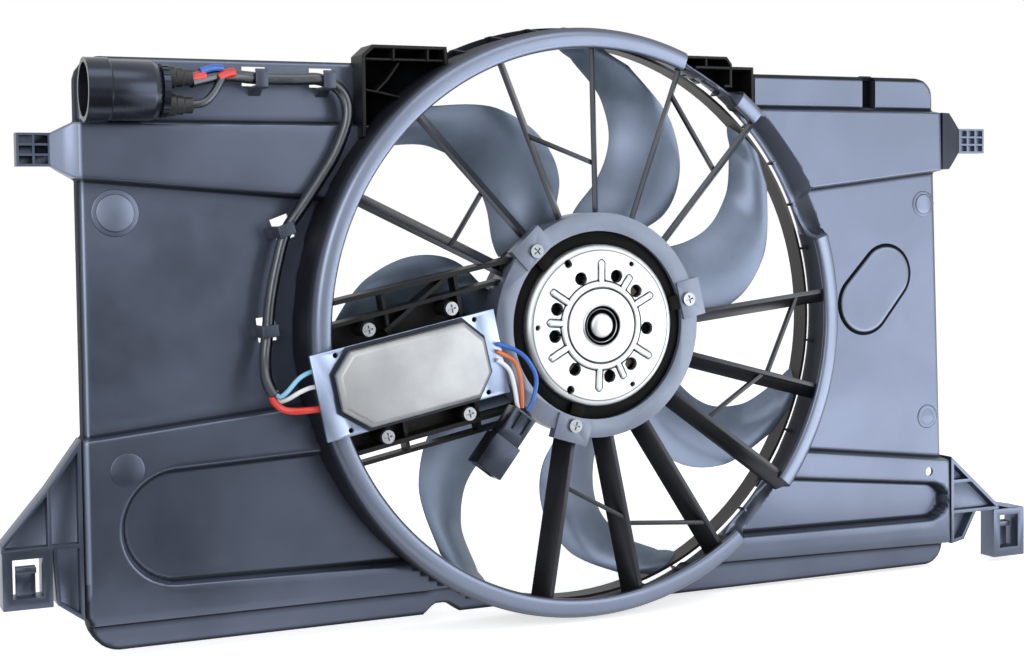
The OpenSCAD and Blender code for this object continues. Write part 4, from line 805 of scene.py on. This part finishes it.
def barrel_sheet():
    """Angle round the fan by place round the section; each point is low + lift * (full - low).

    Where a panel joins, the barrel starts at the panel's back, and on the right its foot flares inwards.
    In the cuts the low slope gets painted shade and its rim a painted highlight; along the full lip the outer wall
    and the lip's underside get painted shade and its top a painted highlight.
    """
    meets = np.degrees(np.arcsin(np.array([TOP_EDGE - WALL, BOTTOM_EDGE - WALL]) / BARREL))
    doors = np.array([-meets[1], meets[0], 180 - meets[0], -180 + meets[1]])
    angle = np.unique(np.concatenate([np.arange(-180, 180, 1.2), rim_knots[0][1:-1],
                                      doors - 0.03, doors + 0.03]))
    open_base = ((angle > doors[0]) & (angle < doors[1])) | (angle > doors[2]) | (angle < doors[3])
    base = np.where(open_base, FACE - WALL, 0.0)
    up, low, away = lift(angle)[:, None], rim_floor(angle)[:, None], edge_r(angle)[:, None]
    rad = np.radians(angle)[:, None]
    sloped = slope_r(angle)[:, None] > BARREL + 1
    panel = FACE + np.where(sloped, right_rise(away * np.cos(rad), away * np.sin(rad)), 0)
    panel = FACE + (panel - FACE) * np.clip((away - BARREL) / 4, 0, 1)

    quarter = np.radians(np.linspace(10, 90, 9))
    wall_r = np.concatenate([np.full(5, BARREL), CREST_R + (BARREL - CREST_R) * np.abs(np.cos(quarter)) ** 0.8])
    wall_d = np.concatenate([[FACE, 20, 28, 36, CURL], CURL + (LIP - CURL) * np.sin(quarter) ** 0.8])
    under = np.radians(np.linspace(84, 0, 6))
    lip_r = np.concatenate([[191.2, 189.6, 188.5, 187.8, EDGE_R, EDGE_R + 0.2, EDGE_R + 1.2],
                            CREST_R + 6.8 * np.cos(under), [INNER]])
    lip_d = np.concatenate([[LIP, 53.2, 52.6, 51.7, 50.6, 49.9, 49.5], CURL + 8.8 * np.sin(under), [36.0]])
    t, s = np.linspace(0, 1, len(wall_r))[None], np.linspace(0, 1, len(lip_r))[None]
    rim_r = BARREL - 0.3
    flat_r = np.concatenate([away + (rim_r - away) * t, rim_r + (INNER - rim_r) * s + 0 * away], 1)
    flat_d = np.concatenate([panel + (low - panel) * t ** 1.6, low + 0.7 * np.sin(np.pi * s) - 0.4 * s], 1)
    full_r, full_d = np.concatenate([wall_r, lip_r])[None], np.concatenate([wall_d, lip_d])[None]
    foot = np.concatenate([(1 - t) ** 3, 0 * s], 1) * up
    r = flat_r + up * (full_r - flat_r) + foot * (away - BARREL)
    d = flat_d + up * (full_d - flat_d) + foot * (panel - FACE)
    ones = np.ones_like(rad)
    flared = 1.0 * ((angle > doors[0]) & (angle < doors[1]))[:, None]
    r = np.concatenate([ones * BARREL, ones * BARREL, r, ones * INNER, INNER + FLARE * flared], 1)
    d = np.concatenate([base[:, None], ones * 12, d, 12 + FLARE_TOP * flared, base[:, None]], 1)
    points = np.stack([r * np.cos(rad), r * np.sin(rad), d], -1)
    along = np.concatenate([np.linspace(0, 1, len(wall_r)), np.full(len(lip_r), -1)])[None]
    # Painted shade on the slope in the cuts, painted highlight on their rim.
    shaded = np.interp(along, [-1, 0, 0.08, 0.9, 1], [-0.9, 0, 0.75, 0.75, -1.2]) * (1 - up) * sloped
    shaded = shaded * np.interp(angle, [-50, -47, -43, -40], [1, 0.15, 0.15, 1])[:, None]
    # Painted shade on the outer wall and under the lip, painted highlight along its top.
    lip_light_and_shade = np.concatenate([
        np.interp(np.arange(len(wall_r)), [4, 7, 9, 11, 13], [0.9, 0.6, -0.2, -0.9, -1.0]),
        np.interp(np.arange(len(lip_r)), [0, 1, 2, 4, 7], [-1.0, -0.9, -0.2, 0.2, 0.7])])[None]
    shaded = shaded + lip_light_and_shade * up
    marks = np.pad(shaded, ((0, 0), (2, 2)), mode="edge")
    return points, grid_faces(*r.shape, close_rows=True, close_cols=True), marks


nubs = slabs_at(np.arange(36) * 10 + 4, INNER - 1.6, INNER + 0.6, 0.8, 12.5, 21.5)
# The gussets and the flange carry painted shade.
gussets = slabs_at(np.arange(74, 115, 8), BARREL - 0.8, BARREL + 3.9, 1.0, 2, 34, 9, 0.9)
flange = fence(circle_walk(57, 123, 203.6, 60), 3.8, 2, 8, 0.5, 0.9)
piece("barrel", [barrel_sheet()] + nubs + gussets + flange, "barrel_plastic", ["fan_barrel"], smooth=38)

# %% [markdown]
# Impeller blades
# Each blade is a thin cambered sheet, thickest in its middle, that sweeps back near the hub and
# forward at the ring. Six stations give its edges' angles and depths, a smooth curve passes through
# them, and the section turns once round the sheet. Seven blades stand at uneven angles, which
# spreads the fan's whine over several tones.

# %% A smooth curve through stations
def through(values, at, knots=None):
    """Catmull-Rom curve: each stretch uses its two ends and the neighbours beyond them."""
    v = np.asarray(values, float)
    knots = np.arange(len(v)) if knots is None else np.asarray(knots, float)
    at = np.interp(at, knots, np.arange(len(v)))
    i = np.clip(at.astype(int), 0, len(v) - 2)
    t = (at - i).reshape(-1, *[1] * (v.ndim - 1))
    a, b, c, d = (v[np.clip(i + k, 0, len(v) - 1)] for k in (-1, 0, 1, 2))
    return 0.5 * (2 * b + (c - a) * t + (2 * a - 5 * b + 4 * c - d) * t ** 2 + (3 * b - a - 3 * c + d) * t ** 3)


# %% Blades
HUB_R, RING_R, CAMBER, HALF_THICK = 69.8, 193.7, 3.2, 1.3
blade_share = [0, 0.242, 0.486, 0.73, 0.933, 1.0]
blade_edges = [(53.6, 26, 88.0, 9), (47.6, 27.5, 76.7, 7.5), (51.2, 26.5, 74.3, 6.5),
               (61.6, 24, 79.4, 5.5), (76.2, 20, 88.1, 5), (82.5, 17, 91.5, 5)]
blade_roots = [0, 50.5, 106.5, 160, 205.5, 256, 314.5]
share = np.linspace(0, 1, 44)
edges = through(blade_edges, share, blade_share)[:, None]
turn = np.linspace(0, 2 * np.pi, 36, endpoint=False)[None]
chord = (1 - np.cos(turn)) / 2
hump = 4 * chord * (1 - chord)
blade_angle = edges[..., 0] + (edges[..., 2] - edges[..., 0]) * chord
blade_depth = (edges[..., 1] + (edges[..., 3] - edges[..., 1]) * chord + CAMBER * hump
               + HALF_THICK * np.sin(turn) * (0.45 + 0.55 * hump))
blade_r = (HUB_R + (RING_R - HUB_R) * share)[:, None]
blades = []
for root in blade_roots:
    a = np.radians(blade_angle + root)
    blades += capped(np.stack([blade_r * np.cos(a), blade_r * np.sin(a), blade_depth], -1))
piece("blades", blades, "blade_plastic", ["fan_blades"], "rotor", smooth=60)

# %% [markdown]
# Motor end plate
# The plate is pressed from one sheet: a round shoulder, a raised ring with nine arms that stiffen
# it, nine cooling holes and a few small ones. The middle is a bearing seat with a polished cap, with
# painted shade in its grooves. A polar grid follows its circles, and the arms are ridges by distance.

# %% End plate as a height over the plane
PLATE, SEAT_R, FLAT_R, SHOULDER = 61.0, 14.6, 51, 4
arms = np.concatenate([np.array([[27, 44], [55.5, 40], [89, 44]]) + [120 * k, 0] for k in range(3)])
cooling = np.concatenate([np.array([115, 70, 40]) + 120 * k for k in range(3)])


def plate_ridges(x, z):
    """Ridges 1.1 mm high: a ring from 26 to 29.5 mm and the nine arms that leave it."""
    r = np.hypot(x, z)
    away = np.abs(r - 27.8) - 1.9
    for angle, end in arms:
        c, s = np.cos(np.radians(angle)), np.sin(np.radians(angle))
        along = np.clip(x * c + z * s, 28, end - 1.8)
        away = np.minimum(away, np.hypot(x - along * c, z - along * s) - 1.8)
    return np.interp(away, [-0.6, 0.5], [1.1, 0])


def plate_holes(x, z):
    """Depth of the round holes, 8.4 mm wide at a radius of 35.2 and 3.4 mm wide near the edge."""
    deep = 0 * x
    rings = [(35.2, cooling, 4.2), (47.5, np.array([60, 180, 300]), 1.5), (48.6, np.array([120, 241]), 2.5)]
    for at, angles, size in rings:
        for angle in np.radians(angles):
            gone = size - np.hypot(x - at * np.cos(angle), z - at * np.sin(angle))
            deep = np.maximum(deep, np.interp(gone, [-0.1, 0.35], [0, 5]))
    return deep


plate_r = np.concatenate([np.arange(SEAT_R, FLAT_R, 0.5),
                          FLAT_R + SHOULDER * np.sin(np.radians(np.arange(0, 91, 9)))])
plate_a = np.radians(np.arange(0, 360, 0.75))[None]
x, z = plate_r[:, None] * np.cos(plate_a), plate_r[:, None] * np.sin(plate_a)
shoulder = SHOULDER - np.sqrt(np.clip(SHOULDER ** 2 - np.clip(plate_r - FLAT_R, 0, SHOULDER) ** 2, 0, None))
ridge, pits = plate_ridges(x, z), plate_holes(x, z)
around = sum(plate_ridges(x + dx, z + dz) for dx, dz in ((1.3, 0), (-1.3, 0), (0, 1.3), (0, -1.3))) / 4
# Painted shade: dark lines along the feet of the ridges, at the shoulder's edge and round the ring, and darkness in
# the holes.
lines = np.clip((around - ridge) / 0.22, 0, 1)
painted_rim_shade = 0.9 * np.exp(-((plate_r - FLAT_R) / 0.6) ** 2) + 0.6 * np.exp(-((plate_r - 26.0) / 0.5) ** 2)
depth = PLATE + ridge - pits - shoulder[:, None] + np.interp(plate_r, [SEAT_R, 25.6, 26], [1.2, 1.0, 0])[:, None]
dark = np.maximum(np.maximum(lines, np.clip(pits / 2.5, 0, 1)), painted_rim_shade[:, None])
plate = (np.stack([x, z, depth], -1), grid_faces(*depth.shape, close_cols=True), dark)
skirt = turned([(55, 57), (55, 52.2), (53.2, 52.2)], steps=480)
# The seat's grooves carry painted shade.
seat = turned([(SEAT_R, 62.2), (14.2, 62.9), (13.6, 63.2), (13.0, 62.6), (12.8, 57.5), (11.8, 57.5),
               (11.7, 61.6), (11.4, 61.9), (11.0, 61.6), (10.9, 56.5), (8.7, 56.5), (8.5, 61.4),
               (8.1, 62.6), (7.0, 63.4), (4.0, 63.9), (0, 64)], steps=480,
              hollow=[0, 0, 0.3, 1, 1, 1, 0.8, 0, 0.8, 1, 1, 0.9, 0, 0, 0, 0])
piece("end_plate", [plate] + skirt + seat, "end_plate_zinc", ["motor_end_plate"], smooth=50)

# %% [markdown]
# Harness and leads
# The harness is wound with cloth tape, so its radius steps a little where each turn of tape ends.
# The wires are smooth PVC. They are held at both ends and by clips, so none hangs free. Each is a
# ring carried along a smooth route: the ring stands square to the route's direction.

# %% A tube along a route
TAPE_TURN = 14.0


def tube(route, radius, sides=20, tape=0.0, step=1.5):
    """Rings square to the route; tape adds a spiral step that repeats every TAPE_TURN mm, with a little painted
    shade where each turn ends.
    """
    route = np.asarray(route, float)
    length = np.sum(np.linalg.norm(np.diff(route, axis=0), axis=1))
    path = through(route, np.linspace(0, len(route) - 1, int(length / step)))
    way = np.gradient(path, axis=0)
    way /= np.linalg.norm(way, axis=1, keepdims=True)
    side = np.cross(way, [0.12, 0.31, 0.94])
    side /= np.linalg.norm(side, axis=1, keepdims=True)
    other = np.cross(way, side)
    a = np.linspace(0, 2 * np.pi, sides, endpoint=False)
    run = np.concatenate([[0], np.cumsum(np.linalg.norm(np.diff(path, axis=0), axis=1))])
    wound = (run[:, None] / TAPE_TURN + a[None] / (2 * np.pi)) % 1.0
    ring = (radius - tape + tape * wound)[..., None]
    points = path[:, None] + ring * (side[:, None] * np.cos(a)[:, None] + other[:, None] * np.sin(a)[:, None])
    return capped(points, 0.2 * (wound < 0.08) * (tape > 0))


# %% Routes
routes = {
    "harness_sleeve": (4.0, [(-272, 160, 38), (-256, 164, 33), (-242, 165, 29), (-225, 164, 27), (-202, 164, 27),
                             (-184, 164, 27), (-170, 156, 27), (-167, 140, 27.5), (-175, 118, 28), (-187, 99, 28),
                             (-199, 82, 28), (-210, 66, 28), (-217, 42, 28), (-221, 22, 28), (-223, 4, 28),
                             (-226, -14, 31), (-227, -28, 38), (-224, -38, 46)]),
    "supply_wire_red": (2.2, [(-226.4, -36.2, 44.2), (-225, -41.5, 48.5), (-220, -45.5, 52.5), (-212, -46.5, 55),
                              (-198, -46, 55)]),
    "supply_wire_white": (1.5, [(-222.9, -36.3, 42.7), (-221.6, -40.5, 46), (-217, -39, 50), (-210, -34.5, 54),
                                (-203, -32, 55), (-196, -32, 55)]),
    "signal_wire_blue": (1.5, [(-223.5, -34.2, 45.6), (-222.3, -37.5, 49), (-218.5, -34.5, 52.5),
                               (-211, -26, 54.5), (-203, -22, 55), (-198, -22, 55)]),
    "motor_lead_blue": (1.5, [(-78, -9, 62.4), (-72, -11, 63), (-65, -14, 64.5), (-58, -20, 66), (-52, -32, 67),
                              (-54, -46, 67), (-58, -54, 66)]),
    "motor_lead_orange": (1.5, [(-78, -14, 62.4), (-72, -17, 62.6), (-66, -21, 63.5), (-63, -29, 65),
                                (-62, -40, 66), (-62, -52, 66)]),
    "motor_lead_white": (1.5, [(-78, -20, 62.4), (-73, -23, 62.6), (-69, -28, 63.5), (-67, -37, 65),
                               (-66, -46, 66), (-65, -53, 66)]),
}
for node_name, (radius, route) in routes.items():
    taped = 0.1 if node_name == "harness_sleeve" else 0.0
    piece(node_name + "_round", tube(route, radius, tape=taped), slot_of[node_name], [node_name])

# %% Sleeves by the boots
sleeves = [
    ("sleeve_red_upper", "wire_red", 3.3, [(-277, 160.5, 39), (-270, 162.5, 38.2), (-263, 164.5, 36.6)]),
    ("sleeve_blue", "wire_blue", 2.2, [(-266, 166.5, 38), (-258, 169, 36.5), (-251, 169.5, 34)]),
    ("sleeve_red_cross", "wire_red", 3.0, [(-254, 163, 35), (-249, 165.5, 34), (-243, 167, 32.5)]),
    ("sleeve_black", "harness_tape", 2.6, [(-272, 146, 38), (-264, 147.5, 38), (-257, 154, 37),
                                           (-251, 163.5, 34.5)]),
]
for sleeve_name, slot, radius, route in sleeves:
    piece(sleeve_name, tube(route, radius, step=0.8), slot)

# %% [markdown]
# Camera, floor and light
# The picture was taken from a little left of the fan's axis and slightly above, with a lens of
# 60 mm on a 36 mm frame. The light is a bright studio: a large soft box to the right of the camera
# gives the right panel its sheen, a low one beside the part lights the edges that look down, one to
# the left lights the lip, and one above brings out the ribs. A black card near the floor on the left
# keeps the left panel's sheen dark, as photographers do. It shows in reflections only.

# %% Camera
PHOTO_WIDTH, PHOTO_HEIGHT, SENSOR_MM = 1024, 666, 36.0
FOCAL_PX, CENTRE_PX, CENTRE_PY = 1706.0, 516.2, 297.2


def aim(obj, place, target, roll=0.0):
    """Looks from place to target: the object's -z points at the target, then it rolls about that line."""
    way = (Vector(target) - Vector(place)).normalized()
    obj.matrix_world = (Matrix.Translation(place) @ way.to_track_quat("-Z", "Y").to_matrix().to_4x4()
                        @ Matrix.Rotation(roll, 4, "Z"))


az, el, dist = np.radians(-24.5), np.radians(2.7), 1.212
target = (-0.028, 0.0158, 0.0171)
place = (target[0] + np.sin(az) * np.cos(el) * dist, target[1] - np.cos(az) * np.cos(el) * dist,
         target[2] + np.sin(el) * dist)
lens = bpy.data.cameras.new("camera")
lens.sensor_width, lens.lens = SENSOR_MM, FOCAL_PX * SENSOR_MM / PHOTO_WIDTH
lens.shift_x = (PHOTO_WIDTH / 2 - CENTRE_PX) / PHOTO_WIDTH
lens.shift_y = (CENTRE_PY - PHOTO_HEIGHT / 2) / PHOTO_WIDTH
camera = in_scene("camera", lens)
aim(camera, place, target, np.radians(-0.7))
scene.camera = camera
print("lens:", round(lens.lens, 1), "mm")


# %% Floor and background
FLOOR_Z, PAPER_GLOW, WHITE = -0.2045, 0.66, (1.0, 1.0, 1.0, 1.0)


def floor_finish():
    """Pale matt paper: the camera adds a little white to it, so it fades out but keeps the shadow."""
    mat = bpy.data.materials.new("matt_paper_sweep")
    tree = fresh(mat)
    rays = add(tree, "ShaderNodeLightPath").node.outputs
    seen = add(tree, "ShaderNodeMath", {0: rays["Is Camera Ray"], 1: rays["Is Glossy Ray"]}, operation="MAXIMUM")
    glow = add(tree, "ShaderNodeMath", {0: seen, 1: PAPER_GLOW}, operation="MULTIPLY")
    shade = add(tree, "ShaderNodeBsdfPrincipled", {
        "Base Color": linear("#f4f4f4"), "Roughness": 0.9, "Specular IOR Level": 0.1,
        "Emission Color": WHITE, "Emission Strength": glow})
    add(tree, "ShaderNodeOutputMaterial", {"Surface": shade})
    return mat


bpy.ops.mesh.primitive_plane_add(size=30, location=(0, 0, FLOOR_Z))
floor = bpy.context.object
floor.name = "floor"
floor.data.materials.append(floor_finish())
scene.view_settings.view_transform = "Standard"

world = bpy.data.worlds.new("studio")
scene.world = world
tree = fresh(world)
rays = add(tree, "ShaderNodeLightPath").node.outputs
seen = add(tree, "ShaderNodeMath", {0: rays["Is Camera Ray"], 1: rays["Is Transmission Ray"]}, operation="MAXIMUM")
shown = add(tree, "ShaderNodeMath", {0: seen, 1: rays["Is Glossy Ray"]}, operation="MAXIMUM")
fill = add(tree, "ShaderNodeBackground", {"Color": (0.93, 0.96, 1.0, 1.0), "Strength": 0.45})
white = add(tree, "ShaderNodeBackground", {"Color": WHITE, "Strength": 1.0})
both = add(tree, "ShaderNodeMixShader", {0: shown, 1: fill, 2: white})
add(tree, "ShaderNodeOutputWorld", {"Surface": both})


# %% Lamps and the black card
DAYLIGHT = (0.94, 0.97, 1.0)


def soft_box(name, place, target, width, height, watts, colour=(1, 1, 1)):
    """A rectangular lamp at place that faces target."""
    lamp = bpy.data.lights.new(name, "AREA")
    lamp.shape, lamp.size, lamp.size_y, lamp.energy, lamp.color = "RECTANGLE", width, height, watts, colour
    obj = in_scene(name, lamp)
    aim(obj, place, target)
    return obj


soft_box("box_right", (1.28, -1.66, 0.42), (0.1, 0, 0), 1.5, 1.2, 18, DAYLIGHT)
soft_box("box_low", (0.8, -0.6, -0.19), (0.8, -0.6, 1.0), 1.0, 0.9, 11, DAYLIGHT).visible_camera = False
soft_box("box_left", (-1.1, -1.5, 0.5), (-0.1, 0, 0), 0.6, 1.0, 13)
soft_box("box_top", (0.0, -0.9, 1.5), (0, 0, 0), 1.4, 0.8, 9)
print("lamps:", len(bpy.data.lights))

# Two flat rectangles, in metres: one lies on the floor before the part, one stands upright beside the camera.
card = bpy.data.meshes.new("black_card")
card.from_pydata([(-0.6, -0.16, -0.203), (-0.08, -0.16, -0.203), (-0.08, -0.95, -0.203), (-0.6, -0.95, -0.203),
                  (-0.3, -1.0, -0.2), (0.15, -1.0, -0.2), (0.15, -1.0, 0.16), (-0.3, -1.0, 0.16)],
                 [], [(0, 1, 2, 3), (4, 5, 6, 7)])
card.materials.append(moulded("black_felt", "#060606", "#0a0a0a", 0.9, 0.8, 0.1, 1.45, 0.1))
flag = in_scene("black_card", card)
flag.visible_camera = flag.visible_shadow = flag.visible_diffuse = False
